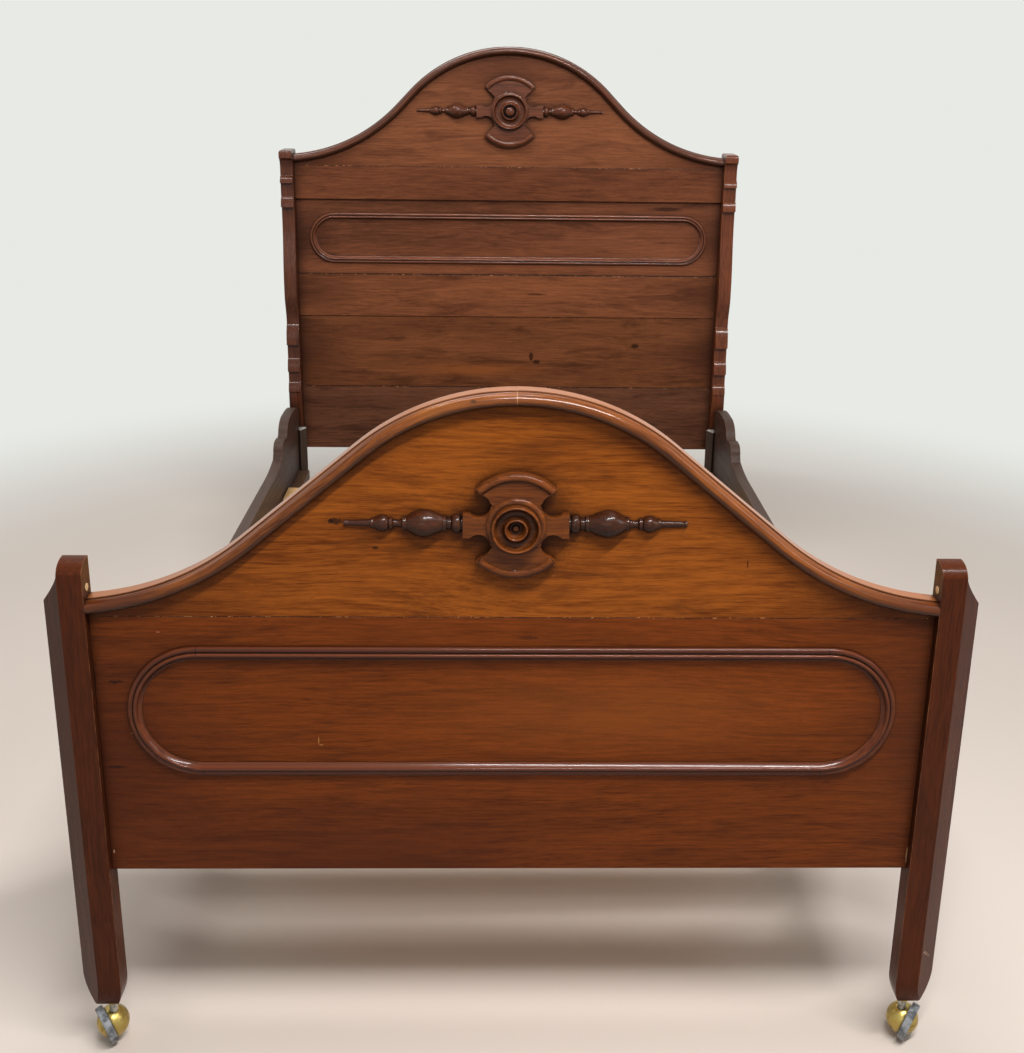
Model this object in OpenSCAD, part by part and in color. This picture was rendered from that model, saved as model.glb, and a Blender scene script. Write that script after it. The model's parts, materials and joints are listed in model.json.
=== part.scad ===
// Arched Victorian bedstead: boarded head and foot, sweeping side rails, ball casters.
// Millimetres. X across the bed, +Y from foot to head, +Z up, origin on the floor at mid length.

/* [Bed] */
// Clear width between the posts
inner_w = 1230; // [1100:5:1320]
// Length of a side rail between the foot post and the head post
rail_l = 1905; // [1700:5:2100]
// Height of the post bottoms above the floor
post_z = 82; // [76:1:84]

/* [Footboard] */
// Bottom of the lower foot board
foot_z = 328; // [300:1:360]
// Height of the lower foot board
foot_low_h = 426; // [415:1:440]
// Height of the crest at the posts above the seam of the boards
foot_spring_up = 29; // [25:1:33]
// Rise of the crest from the posts to the middle
foot_rise = 313; // [285:1:335]
// Radius of the middle of the foot crest
foot_crown_r = 350; // [310:1:380]
// Steepest slope of the foot crest in degrees
foot_slope = 40; // [37:0.5:43]
// Thickness of the foot boards
foot_board_t = 20; // [18:0.5:24]

/* [Headboard] */
// Bottom of the lowest head board
head_z = 383; // [365:1:400]
// Height of the lowest head board
head_bottom_h = 194; // [180:1:210]
// Height of the second head board
head_low_h = 216; // [200:1:230]
// Height of the third head board
head_mid_h = 124; // [110:1:140]
// Height of the recessed panel
head_panel_h = 218; // [205:1:225]
// Height of the board between the panel and the arched board
head_frieze_h = 95; // [85:1:105]
// Height of the crest at the posts above the highest seam
head_spring_up = 31; // [26:1:34]
// Rise of the crest from the posts to the middle
head_rise = 300; // [290:1:325]
// Radius of the middle of the head crest
head_crown_r = 390; // [350:1:410]
// Steepest slope of the head crest in degrees
head_slope = 46; // [44:0.5:48]
// Thickness of the arched board
head_crest_t = 26; // [25:0.5:30]
// Thickness of the third and the lowest board
head_board_t = 22; // [20.5:0.5:24]
// Thickness of the second board
head_low_t = 19; // [17.5:0.5:20]
// Thickness of the recessed panel
head_panel_t = 16; // [15:0.5:17]

/* [Posts] */
// Width of the front face of a foot post
post_face_w = 36; // [32:1:42]
// Width that the bevelled side adds below the shoulder
post_bevel_w = 30; // [22:1:36]
// Depth of the bevel
post_bevel_d = 25; // [20:1:28]
// Depth of a foot post, front to back
foot_post_d = 35; // [34:1:44]
// How far a foot post stands forward of the foot boards
foot_post_proud = 14; // [11:1:15]
// How far a foot post rises above the end of the crest
foot_post_up = 57; // [42:1:87]
// Distance from the top of a foot post down to its shoulder
foot_shoulder_drop = 20; // [14:1:34]
// Height of the shoulder on the outer side of a foot post
shoulder_slope_h = 46; // [36:1:60]
// Thickness of a head post plank
head_post_t = 36; // [32:1:42]
// Depth of a head post, front to back
head_post_d = 74; // [68:1:90]
// How far a head post rises above the end of the crest
head_post_up = 12; // [7:1:39]
// How far the scrolled front of a head post swells forward
scroll_out = 5; // [2:0.5:7]
// How far the scrolled front of a head post is cut back
scroll_in = 12; // [8:0.5:15]
// Depth of the grooves that hold the board ends
groove_d = 12; // [8:0.5:15]
// Thickness of the tongues on the board ends
tongue_t = 12; // [9:0.5:13]
// Height of the tapered foot of each post
taper_h = 44; // [30:1:60]

/* [Moldings] */
// Height of the crest molding
crest_h = 24; // [20:0.5:28]
// How far the crest molding stands forward of the board
crest_out = 16; // [13:0.5:20]
// Thickness of the crest molding over the edge of the board
crest_cap = 6; // [4:0.5:8]
// Width of the molding round a panel
bead_w = 21; // [18:0.5:24]
// Outer height of the molding on the foot board
foot_bead_h = 212; // [190:1:230]
// Distance from a post to the molding on the foot board
foot_bead_gap = 45; // [38:1:160]
// Distance from the seam of the foot boards down to the middle of the molding
foot_bead_drop = 153; // [140:1:160]
// Outer height of the molding on the head panel
head_bead_h = 146; // [120:1:160]
// Distance from a post to the molding on the head panel
head_bead_gap = 37; // [30:1:160]
// Distance from the top of the panel down to the middle of its molding
head_bead_drop = 113; // [105:1:120]

/* [Ornaments] */
// Distance from the top of the foot crest down to the middle of the ornament
foot_orn_drop = 196; // [185:1:215]
// Outer radius of the foot plaque
foot_plaque_r = 79; // [70:1:88]
// Outer radius of the foot roundel
foot_roundel_r = 35; // [30:1:40]
// Distance from the top of the head crest down to the middle of the ornament
head_orn_drop = 176; // [166:1:190]
// Outer radius of the head plaque
head_plaque_r = 99; // [88:1:105]
// Outer radius of the head roundel
head_roundel_r = 48; // [40:1:50]
// Length of a turned half spindle
spindle_l = 169; // [150:1:185]
// Largest radius of a half spindle
spindle_r = 21.5; // [17:0.5:24]
// Thickness of a plaque
plaque_t = 13; // [10:0.5:18]

/* [Rails and slats] */
// Thickness of a side rail
rail_t = 26; // [22:1:30]
// Bottom of a side rail
rail_z = 298; // [290:1:300]
// Height of the low part of a side rail
rail_h = 142; // [135:1:150]
// Rise of the rail from its low part to its top at the head
rail_sweep = 95; // [88:1:98]
// Height of the slat tops
slat_z = 350; // [342:1:365]
// Thickness of a slat
slat_t = 19; // [16:0.5:24]
// Width of a slat
slat_w = 98; // [80:1:130]
// Number of slats
slat_count = 10; // [8:1:11]
// Distance from the last slat to the head posts
slat_head_gap = 236; // [120:2:300]
// Width of a ledger
ledger_w = 30; // [22:1:40]
// Height of a ledger
ledger_h = 26; // [20:1:34]
// Side of a square corner cleat
cleat_w = 25; // [20:1:30]
// Top of a corner cleat
cleat_top = 460; // [440:1:480]

/* [Casters] */
// Radius of the hood and cap, which together make the ball
ball_r = 25.5; // [24.5:0.25:27]
// Outer radius of the wheel tread
tread_r = 31; // [29:0.25:33]
// Width of the wheel
wheel_w = 12; // [10:0.25:14]
// Lean of the wheel in degrees
wheel_lean = 14; // [10:0.5:18]
// Distance from the swivel axis to the middle of the ball, along the bed
trail = 8; // [6:0.5:12]
// Distance from the swivel axis to the middle of the ball, across the bed
offset_x = 1; // [0.5:0.5:3]
// Turn of the foot casters at rest in degrees
foot_turn = 35; // [0:1:60]
// Radius of the swivel stem
stem_r = 4; // [3:0.25:4.5]
// Radius of the wheel axle
axle_r = 3; // [2.5:0.25:3.5]
// Outer radius of the socket in the post
socket_r = 6; // [5.5:0.25:7]
// Depth of the socket in the post
socket_l = 38; // [25:1:60]

/* [Hidden] */
$fn = 96;

// Clearances
seat_gap = 0.1;      // a wooden or brass piece in its own recess
run_gap = 0.05;      // radial clearance of a shaft in its bore
lift_gap = 0.3;      // pieces that pass over each other
boss_r = 7;          // bosses of the caster frame
flange_r = 11;       // flange of a caster socket
flange_t = 2;
shell_t = 2;         // wall of a caster hood and cap
wheel_gap = 0.6;     // running gap beside a wheel

// Planes across the bed, worked out from the front of the foot boards
half_w = inner_w / 2;
shoulder_h = 5;      // rise of the domed shoulder over the face of a plaque
roundel_h = 13;      // how far a roundel rises above its plaque
orn_proud = plaque_t + shoulder_h + roundel_h;
overall_l = orn_proud + foot_post_d - foot_post_proud + rail_l + head_post_d;
foot_y = -overall_l / 2 + orn_proud;
foot_post_front = foot_y - foot_post_proud;
foot_post_back = foot_post_front + foot_post_d;
head_post_front = foot_post_back + rail_l;
head_post_back = head_post_front + head_post_d;
head_boards_back = head_post_back - 13;
rail_x = half_w + head_post_t - rail_t;      // inner face of the right rail

foot_seam_z = foot_z + foot_low_h;
head_seam_1 = head_z + head_bottom_h;
head_seam_2 = head_seam_1 + head_low_h;
head_seam_3 = head_seam_2 + head_mid_h;
head_seam_4 = head_seam_3 + head_panel_h;
head_seam_5 = head_seam_4 + head_frieze_h;
end_slope = 5;       // slope of a crest where it meets the posts
foot_spring_z = foot_seam_z + foot_spring_up;
head_spring_z = head_seam_5 + head_spring_up;
foot_post_top = foot_spring_z + foot_post_up;
head_post_top = head_spring_z + head_post_up;
foot_orn_z = foot_spring_z + foot_rise - foot_orn_drop;
head_orn_z = head_spring_z + head_rise - head_orn_drop;

// Casters: the lowest point of the tread lies on the floor
wheel_mid = wheel_gap + 4.4 + wheel_w / 2;   // along the axle, from the middle of the ball
ball_z = tread_r * cos(wheel_lean) + (wheel_mid + wheel_w / 2) * sin(wheel_lean);
foot_stem_x = half_w + post_face_w / 2 + post_bevel_w / 2 - 12;
foot_stem_y = foot_post_front + foot_post_d / 2 + 2;
head_stem_x = half_w + head_post_t / 2;
head_stem_y = head_post_front + head_post_d / 2;

// ---------------------------------------------------------------- shared geometry

// Points of a circular arc about c, from angle a to angle b
function arc(c, r, a, b, n = 8) =
    [for (i = [0:n]) let (t = a + (b - a) * i / n) [c[0] + r * cos(t), c[1] + r * sin(t)]];

// Points of an elliptical arc about c
function oval(c, rx, ry, a, b, n = 6) =
    [for (i = [0:n]) let (t = a + (b - a) * i / n) [c[0] + rx * cos(t), c[1] + ry * sin(t)]];

// A crest line is a crown arc, a straight slope and a reversed arc. This gives the length of
// the slope and the radius of the reversed arc for a half span, a rise, a crown and a slope.
function crest_fit(rise, crown_r, slope) =
    let (a = half_w - crown_r * sin(slope), b = rise - crown_r * (1 - cos(slope)),
        det = cos(slope - end_slope) - 1)
    [(a * (cos(end_slope) - cos(slope)) - b * (sin(slope) - sin(end_slope))) / det,
        (b * cos(slope) - a * sin(slope)) / det];

// Top of the board under a crest, from the right post to the left post, shrunk by d
function crest_line(spring_z, rise, crown_r, slope, d) =
    let (fit = crest_fit(rise, crown_r, slope), low_r = fit[1], top = spring_z + rise,
        s = [crown_r * sin(slope) + fit[0] * cos(slope),
            top - crown_r * (1 - cos(slope)) - fit[0] * sin(slope)],
        low_c = [s[0] + low_r * sin(slope), s[1] + low_r * cos(slope)],
        half = concat(arc(low_c, low_r + d, 270 - end_slope, 270 - slope, 14),
            arc([0, top - crown_r], crown_r - d, 90 - slope, 90, 14)))
    concat([for (p = half) p], [for (i = [len(half) - 2:-1:0]) [-half[i][0], half[i][1]]]);

// Lays a flat shape drawn in X and Z against a plane y, h thick towards the front
module on_face(y, h) { translate([0, y, 0]) rotate([90, 0, 0]) linear_extrude(h) children(); }

// Extrudes a side view drawn in Y and Z across x
module across(x, w) { translate([x, 0, 0]) rotate([90, 0, 90]) linear_extrude(w) children(); }

// The left piece is the right piece seen in a mirror
module left() { mirror([1, 0, 0]) children(); }

// ---------------------------------------------------------------- posts

// Points of a curve from a to c that bends towards b
function bow(a, b, c, n = 6) =
    [for (i = [0:n]) let (t = i / n) (1 - t) * (1 - t) * a + 2 * t * (1 - t) * b + t * t * c];

module foot_post() {
    w = post_face_w + post_bevel_w;
    shoulder_z = foot_post_top - foot_shoulder_drop;
    foot_cut = post_bevel_w * 0.8;   // width of the cut on the outer side of the foot
    difference() {
        intersection() {
            translate([half_w, foot_post_front, post_z]) linear_extrude(foot_post_top - post_z)
                polygon([[0, 0], [post_face_w, 0], [w, post_bevel_d], [w, foot_post_d],
                    [0, foot_post_d]]);
            // front view: cut foot, sharp lower corner of the shoulder, hollow run up to the face
            on_face(foot_post_back, foot_post_d)
                translate([half_w, 0]) polygon(concat(
                    bow([w - foot_cut, post_z], [w - 3, post_z + taper_h * 0.4], [w, post_z + taper_h]),
                    bow([w, shoulder_z - shoulder_slope_h], [post_face_w + 6, shoulder_z - 15],
                        [post_face_w, shoulder_z]),
                    [[post_face_w, foot_post_top], [0, foot_post_top]],
                    bow([0, post_z + taper_h * 0.8], [1, post_z + taper_h * 0.3], [9, post_z], 5)));
            // side view: the top rounds down to a crisp front edge
            across(half_w, w) translate([foot_post_front, 0]) polygon(concat(
                bow([8, post_z], [1, post_z + taper_h * 0.3], [0, post_z + taper_h * 0.8], 5),
                bow([0, foot_post_top - 18], [6, foot_post_top - 1], [foot_post_d - 7, foot_post_top]),
                [[foot_post_d, foot_post_top], [foot_post_d, post_z + taper_h * 0.5],
                [foot_post_d - 4, post_z]]));
        }
        // groove for the tongues of the boards
        translate([half_w - 1, foot_y + (foot_board_t - tongue_t) / 2 - seat_gap, foot_z])
            cube([groove_d + 1 + seat_gap, tongue_t + 2 * seat_gap, foot_spring_z - foot_z]);
        socket_hole(foot_stem_x, foot_stem_y);
        plug_hole();
        hook_mortise(foot_post_back, -1);
    }
}

// Lobes of the scrolled front: each falls from the cut-back line to a sharp lower edge
function lobe(top, edge, back, out) =
    let (a = 15) [for (i = [0:5]) let (t = a + (90 - a) * i / 5)
        [back - (back - out) * (sin(t) - sin(a)) / (1 - sin(a)), edge + (top - edge) * cos(t) / cos(a)]];

// Front edge of a head post from the top down, as [distance behind the front, height]
function scroll_line() = concat(
    oval([9 - scroll_out, head_post_top - 9], 9, 9, 90, 180, 4),
    [[-scroll_out, head_post_top - 22]],
    oval([-scroll_out, head_post_top - 50], scroll_in + scroll_out, 28, 90, 0, 5),
    lobe(head_post_top - 71, head_post_top - 92, scroll_in, -scroll_out * 0.3),
    [[scroll_in * 0.8, head_post_top - 93]],
    lobe(head_post_top - 130, head_post_top - 160, scroll_in * 0.8, -scroll_out * 0.3),
    [[scroll_in, head_post_top - 161], [scroll_in, head_post_top - 200]],
    [for (i = [1:7]) let (t = i / 8) [scroll_in - (scroll_in + scroll_out) * (1 - cos(180 * t)) / 2,
        head_post_top - 200 - 180 * t]],
    [[-scroll_out, head_post_top - 380], [-scroll_out, head_post_top - 410]],
    [for (i = [1:5]) let (t = i / 6) [-scroll_out + (scroll_in + scroll_out) * (1 - cos(180 * t)) / 2,
        head_post_top - 410 - 80 * t]],
    [[scroll_in, head_post_top - 490]],
    lobe(head_post_top - 502, head_post_top - 562, scroll_in, -scroll_out),
    [[scroll_in * 0.7, head_post_top - 563]],
    lobe(head_post_top - 603, head_post_top - 643, scroll_in * 0.7, -scroll_out * 0.8),
    [[scroll_in * 0.7, head_post_top - 644]],
    lobe(head_post_top - 675, head_post_top - 705, scroll_in * 0.7, -scroll_out * 0.6),
    [[0, head_post_top - 706]]);

module head_post() {
    tongue_y = head_boards_back - tongue_t;
    difference() {
        intersection() {
            across(half_w, head_post_t) translate([head_post_front, 0]) polygon(concat(
                scroll_line(),
                [[0, post_z + taper_h], [4, post_z + taper_h * 0.4], [12, post_z],
                [head_post_d - 10, post_z], [head_post_d, post_z + taper_h],
                [head_post_d, head_post_top]]));
            on_face(head_post_back, head_post_d + scroll_out)
                translate([half_w, 0]) polygon([[6, post_z], [head_post_t - 6, post_z],
                    [head_post_t, post_z + taper_h], [head_post_t, head_post_top - 4],
                    [head_post_t - 4, head_post_top], [4, head_post_top], [0, head_post_top - 4],
                    [0, post_z + taper_h]]);
        }
        translate([half_w - 1, tongue_y - seat_gap, head_z])
            cube([groove_d + 1 + seat_gap, tongue_t + 2 * seat_gap, head_spring_z - head_z]);
        socket_hole(head_stem_x, head_stem_y);
        hook_mortise(head_post_front, 1);
    }
}

module foot_post_right() { color("#6b2f1a") foot_post(); }
module foot_post_left() { color("#6b2f1a") left() foot_post(); }
module head_post_right() { color("#5a2816") head_post(); }
module head_post_left() { color("#5a2816") left() head_post(); }

// Wooden plugs in the inner faces of the foot posts, just above the crest molding
plug_r = 6;
plug_l = 12;
plug_z = foot_spring_z + 15;
plug_y = foot_post_front + foot_post_d / 2;
module plug_hole() {
    translate([half_w - 1, plug_y, plug_z]) rotate([0, 90, 0])
        cylinder(r = plug_r + seat_gap, h = plug_l + 1);
}
module foot_post_plugs() {
    color("#d8b98c") for (s = [-1, 1]) translate([s * (half_w - 1), plug_y, plug_z])
        rotate([0, s * 90, 0]) cylinder(r = plug_r, h = plug_l + 1);
}

// ---------------------------------------------------------------- boards

// A board between two posts, with a tongue at each end
module flat_board(back_y, t, z, h, tongue_y) {
    translate([-half_w, back_y - t, z]) cube([inner_w, t, h]);
    for (s = [-1, 1]) translate([s * (half_w + groove_d / 2) - groove_d / 2, tongue_y, z])
        cube([groove_d, tongue_t, h]);
}

// A board whose top follows a crest line
module arched_board(back_y, t, z, line, tongue_y) {
    tongue_h = line[0][1] - z;
    on_face(back_y, t) polygon(concat([[-half_w, z], [half_w, z], [half_w, line[0][1]]],
        [for (p = line) if (abs(p[0]) < half_w - 0.5) p], [[-half_w, line[0][1]]]));
    for (s = [-1, 1]) translate([s * (half_w + groove_d / 2) - groove_d / 2, tongue_y, z])
        cube([groove_d, tongue_t, tongue_h]);
}

foot_back = foot_y + foot_board_t;
foot_tongue_y = foot_y + (foot_board_t - tongue_t) / 2;
head_tongue_y = head_boards_back - tongue_t;
foot_board_line = crest_line(foot_spring_z, foot_rise, foot_crown_r, foot_slope,
    crest_cap + lift_gap);
head_board_line = crest_line(head_spring_z, head_rise, head_crown_r, head_slope,
    crest_cap + lift_gap);

module foot_arch_board() {
    color("#8a4a22") arched_board(foot_back, foot_board_t, foot_seam_z, foot_board_line,
        foot_tongue_y);
}
module foot_lower_board() {
    color("#74351c") flat_board(foot_back, foot_board_t, foot_z, foot_low_h, foot_tongue_y);
}
module head_arch_board() {
    color("#63301c") arched_board(head_boards_back, head_crest_t, head_seam_5, head_board_line,
        head_tongue_y);
}
module head_frieze_board() {
    color("#5e2d1a") flat_board(head_boards_back, head_crest_t, head_seam_4, head_frieze_h,
        head_tongue_y);
}
module head_recessed_panel() {
    color("#5a2a18") flat_board(head_boards_back, head_panel_t, head_seam_3, head_panel_h,
        head_tongue_y);
}
module head_middle_board() {
    color("#663019") flat_board(head_boards_back, head_board_t, head_seam_2, head_mid_h,
        head_tongue_y);
}
module head_lower_board() {
    color("#5e2c19") flat_board(head_boards_back, head_low_t, head_seam_1, head_low_h,
        head_tongue_y);
}
module head_bottom_board() {
    color("#4c2416") flat_board(head_boards_back, head_board_t, head_z, head_bottom_h,
        head_tongue_y);
}

// ---------------------------------------------------------------- crest moldings

// Section of the crest molding: x outwards from the crest line, y forward of the board.
// A cap lies over the board's edge, and a sharp quirk parts it from the big rounded nose.
function crest_section(board_t) =
    let (nose_r = crest_h / 2 - 1.3, mid = -2 - nose_r)
    concat([[-crest_cap, -board_t], [0, -board_t], [0, 0.8], [-3, 1.4]],
        oval([mid, 1.6], nose_r, crest_out - 1.6, 8, 180, 12),
        [[-crest_h, 0], [-crest_cap, 0]]);

// The right half of a crest molding, from the middle joint to the post
module crest_molding(face_y, board_t, spring_z, rise, crown_r, slope) {
    fit = crest_fit(rise, crown_r, slope);
    top = spring_z + rise;
    s = [crown_r * sin(slope), top - crown_r * (1 - cos(slope))];
    e = [s[0] + fit[0] * cos(slope), s[1] - fit[0] * sin(slope)];
    low_c = [e[0] + fit[1] * sin(slope), e[1] + fit[1] * cos(slope)];
    past = 4;        // degrees run past the post before the end is cut square
    lap = 0.05;      // the slope laps into both arcs
    section = crest_section(board_t);
    translate([0, face_y, 0]) rotate([90, 0, 0]) {
        // crown
        translate([0, top - crown_r, 0]) rotate([0, 0, 90 - slope]) rotate_extrude(angle = slope)
            translate([crown_r, 0]) polygon(section);
        // slope
        translate([s[0], s[1], 0]) rotate([0, 0, 90 - slope]) rotate([90, 0, 0])
            translate([0, 0, -lap]) linear_extrude(fit[0] + 2 * lap) polygon(section);
        // reversed arc, cut off square at the post
        intersection() {
            translate([low_c[0], low_c[1], 0]) rotate([0, 0, 270 - slope])
                rotate_extrude(angle = slope - end_slope + past)
                translate([fit[1], 0]) polygon([for (p = section) [-p[0], p[1]]]);
            translate([0, spring_z - crest_h - 40, -board_t - 20])
                cube([half_w, rise + 100, board_t + crest_out + 40]);
        }
    }
}
module foot_crest() {
    crest_molding(foot_y, foot_board_t, foot_spring_z, foot_rise, foot_crown_r, foot_slope);
}
module head_crest() {
    crest_molding(head_boards_back - head_crest_t, head_crest_t, head_spring_z, head_rise,
        head_crown_r, head_slope);
}
module foot_crest_molding_right() { color("#8b4a2b") foot_crest(); }
module foot_crest_molding_left() { color("#8b4a2b") left() foot_crest(); }
module head_crest_molding_right() { color("#6c3420") head_crest(); }
module head_crest_molding_left() { color("#6c3420") left() head_crest(); }

// ---------------------------------------------------------------- panel moldings

// Section of a panel molding: x from its outer edge inwards, y up from the board
function bead_section() =
    [for (p = concat([[0, 0], [0, 3.4]], oval([4.8, 4.2], 4, 2.6, 170, 22, 6),
        arc([12.2, 6], 3.2, 190, 0, 8),
        [[18.5, 2.5], [20, 1.5], [21, 1.5], [21, 0]])) p * bead_w / 21];

// A molding with half-round ends, l long and h high, about (0, z)
module panel_molding(face_y, l, h, z) {
    end_x = l / 2 - h / 2;
    translate([0, face_y, z]) rotate([90, 0, 0]) {
        for (a = [0, 180]) rotate([0, 0, a]) {
            translate([end_x, 0, 0]) rotate([0, 0, -90]) rotate_extrude(angle = 180)
                polygon([for (p = bead_section()) [h / 2 - p[0], p[1]]]);
            translate([end_x, 0, 0]) rotate([90, 0, -90]) linear_extrude(2 * end_x)
                polygon([for (p = bead_section()) [h / 2 - p[0], p[1]]]);
        }
    }
}
module foot_panel_molding() {
    color("#7c3f26") panel_molding(foot_y, inner_w - 2 * foot_bead_gap, foot_bead_h,
        foot_seam_z - foot_bead_drop);
}
module head_panel_molding() {
    color("#66301c") panel_molding(head_boards_back - head_panel_t, inner_w - 2 * head_bead_gap,
        head_bead_h, head_seam_4 - head_bead_drop);
}

// ---------------------------------------------------------------- ornaments

flare_a = 46.5;      // half angle of a plaque's flared top and bottom
rim_a = 45;          // half angle of the raised rims on the flares
bite_ratio = 0.22;   // radius of a plaque's round bites, as a share of its own
stub_ratio = 0.95;   // reach of a plaque's side stubs, as a share of its radius
foot_stub = [36, 25];        // height of a side stub at its end and at its waist
head_stub = [34, 24];

// Plaque: two flares with raised rims, a domed shoulder and two side stubs, with round bites
module plaque(face_y, z, r, stub) {
    rim_w = r * 0.07;
    bite_r = r * bite_ratio;
    half = [r * stub_ratio, stub[0] / 2];
    flare = 2 * r * [sin(flare_a), cos(flare_a)];
    translate([0, face_y, z]) rotate([90, 0, 0]) {
        difference() {
            union() {
                for (a = [0, 180]) rotate(a) intersection() {
                    cylinder(r = r, h = plaque_t);
                    linear_extrude(plaque_t) polygon([[0, 0], flare, [0, 2 * r],
                        [-flare[0], flare[1]]]);
                }
                cylinder(r = r * 0.58, h = plaque_t);
                linear_extrude(plaque_t) polygon([half, [-half[0], half[1]], -half,
                    [half[0], -half[1]]]);
            }
            for (i = [-1, 1], j = [-1, 1])
                translate([i * r * 0.67, j * (stub[1] / 2 + bite_r), -1])
                cylinder(r = bite_r, h = plaque_t + 2);
        }
        for (a = [90, 270]) rotate([0, 0, a - rim_a]) rotate_extrude(angle = 2 * rim_a)
            polygon(concat([[r - 1 - 2 * rim_w, plaque_t - 1]],
                oval([r - 1 - rim_w, plaque_t], rim_w, 4, 180, 0), [[r - 1, plaque_t - 1]]));
        rotate_extrude() polygon(concat([[0, plaque_t - 1], [r * 0.54, plaque_t - 1]],
            oval([r * 0.45, plaque_t], r * 0.09, shoulder_h, 0, 90, 5),
            [[0, plaque_t + shoulder_h]]));
    }
}

// Radii of a roundel's inner ring and of its button, and the rise of the button
foot_ring = [16.4, 6, 4];
head_ring = [22.5, 15.6, 11];

// A turned roundel: a beaded rim round a dish, with an inner ring and a button
module roundel(face_y, z, r, ring) {
    base = plaque_t + shoulder_h;
    top = base + roundel_h;
    rim_w = 4;
    dish_r = (r - rim_w - ring[0]) / 2;
    floor_z = base + 1.5;
    translate([0, face_y, z]) rotate([90, 0, 0]) rotate_extrude() polygon(concat(
        [[0, base], [r - 0.5, base], [r - 1, base + 2], [r - 1, top - 4]],
        oval([r - rim_w / 2, top - 2], rim_w / 2, 2, -20, 180, 6),
        oval([ring[0] + dish_r, top - 2.2], dish_r, roundel_h - 4, 0, -180, 10),
        oval([ring[0] - 1.5, top - 2], 1.5, 1.2, 0, 180, 4),
        [[ring[0] - 4, top - 5], [ring[1] + 2.1, floor_z]],
        oval([0, floor_z], ring[1], ring[2], 0, 90, 8)));
}

// Profile of a half spindle as [radius, distance from the plaque], from base to tip
function spindle_line() =
    let (r = spindle_r, k = spindle_l / 169)
    concat([[r * 0.5, 0]], oval([r * 0.5, 9 * k], r * 0.174, 6.5 * k, -90, 90, 8),
        [[r * 0.4, 17 * k], [r * 0.4, 23 * k], [r * 0.57, 24 * k], [r * 0.57, 28 * k]],
        [for (i = [0:10]) let (t = i / 10) [r * (0.54 - 0.05 * t + 0.46 * sin(180 * pow(t, 1.12))),
            (28.5 + 52 * t) * k]],
        [[r * 0.5, 81 * k], [r * 0.5, 85 * k], [r * 0.28, 87 * k], [r * 0.23, 92 * k],
        [r * 0.26, 98 * k], [r * 0.44, 100 * k], [r * 0.44, 104 * k]],
        [for (i = [0:8]) let (t = i / 8) [r * (0.36 + 0.23 * sin(180 * pow(t, 0.83))),
            (104.5 + 22 * t) * k]],
        [[r * 0.37, 127 * k], [r * 0.37, 130 * k], [r * 0.24, 131 * k], [r * 0.24, 141 * k],
        [r * 0.18, 163 * k], [r * 0.22, 165 * k], [r * 0.22, 168 * k], [0, 169 * k]]);

module spindle(face_y, x, z) {
    translate([x, face_y, z]) rotate([0, 90, 0]) rotate([0, 0, 180]) rotate_extrude(angle = 180)
        polygon(concat([[0, 0]], spindle_line()));
}

head_orn_y = head_boards_back - head_crest_t;
module foot_plaque() { color("#713a22") plaque(foot_y, foot_orn_z, foot_plaque_r, foot_stub); }
module foot_roundel() { color("#713a22") roundel(foot_y, foot_orn_z, foot_roundel_r, foot_ring); }
module foot_spindle_right() {
    color("#4f2818") spindle(foot_y, foot_plaque_r * stub_ratio, foot_orn_z);
}
module foot_spindle_left() {
    color("#4f2818") left() spindle(foot_y, foot_plaque_r * stub_ratio, foot_orn_z);
}
module head_plaque() { color("#5c2c1c") plaque(head_orn_y, head_orn_z, head_plaque_r, head_stub); }
module head_roundel() { color("#5c2c1c") roundel(head_orn_y, head_orn_z, head_roundel_r, head_ring); }
module head_spindle_right() {
    color("#45221a") spindle(head_orn_y, head_plaque_r * stub_ratio, head_orn_z);
}
module head_spindle_left() {
    color("#45221a") left() spindle(head_orn_y, head_plaque_r * stub_ratio, head_orn_z);
}

// ---------------------------------------------------------------- rails, ledgers and slats

// Top of a rail from the head down to its low part: a long round shoulder, a small bead and a
// long cove. Distances are from the head post towards the foot.
function rail_top() =
    let (low = rail_z + rail_h, top = low + rail_sweep, sweep_r = 603)
    [for (p = concat([[0, top - 20], [12, top - 13], [26, top - 8], [50, top - 3], [88, top]],
        oval([142, top - 44], 64, 44, 90, 12, 7),
        [[214, top - 42], [228, top - 43], [235, top - 38], [262, top - 38]],
        arc([262, top - 66], 28, 78, 0, 5),
        arc([430, low + sweep_r], sweep_r, 270 - asin(130 / sweep_r), 270, 8)))
        [head_post_front - p[0], p[1]]];

module side_rail() {
    difference() {
        across(rail_x, rail_t) polygon(concat([[foot_post_back, rail_z], [head_post_front, rail_z]],
            rail_top(), [[foot_post_back, rail_z + rail_h]]));
        hook_rebate(foot_post_back, 1);
        hook_rebate(head_post_front, -1);
        ledger_screw_places() translate([0, 0, -1])
            cylinder(r = screw_r + seat_gap, h = screw_l - ledger_w + 1);
    }
}
module side_rail_right() { color("#4a2f26") side_rail(); }
module side_rail_left() { color("#4a2f26") left() side_rail(); }

slat_bed_l = head_post_front - cleat_w - 5 - foot_post_back;
module rail_ledger() {
    difference() {
        translate([rail_x - ledger_w, foot_post_back + 12, slat_z - slat_t - ledger_h])
            cube([ledger_w, slat_bed_l - 8, ledger_h]);
        ledger_screw_places() translate([0, 0, -ledger_w - 1])
            cylinder(r = screw_r + seat_gap, h = ledger_w + 2);
        ledger_screw_places() translate([0, 0, -ledger_w - 1])
            cylinder(r = screw_head_r + seat_gap, h = screw_head_h + 1 + seat_gap);
    }
}
module rail_ledger_right() { color("#d9b57c") rail_ledger(); }
module rail_ledger_left() { color("#d9b57c") left() rail_ledger(); }

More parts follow.
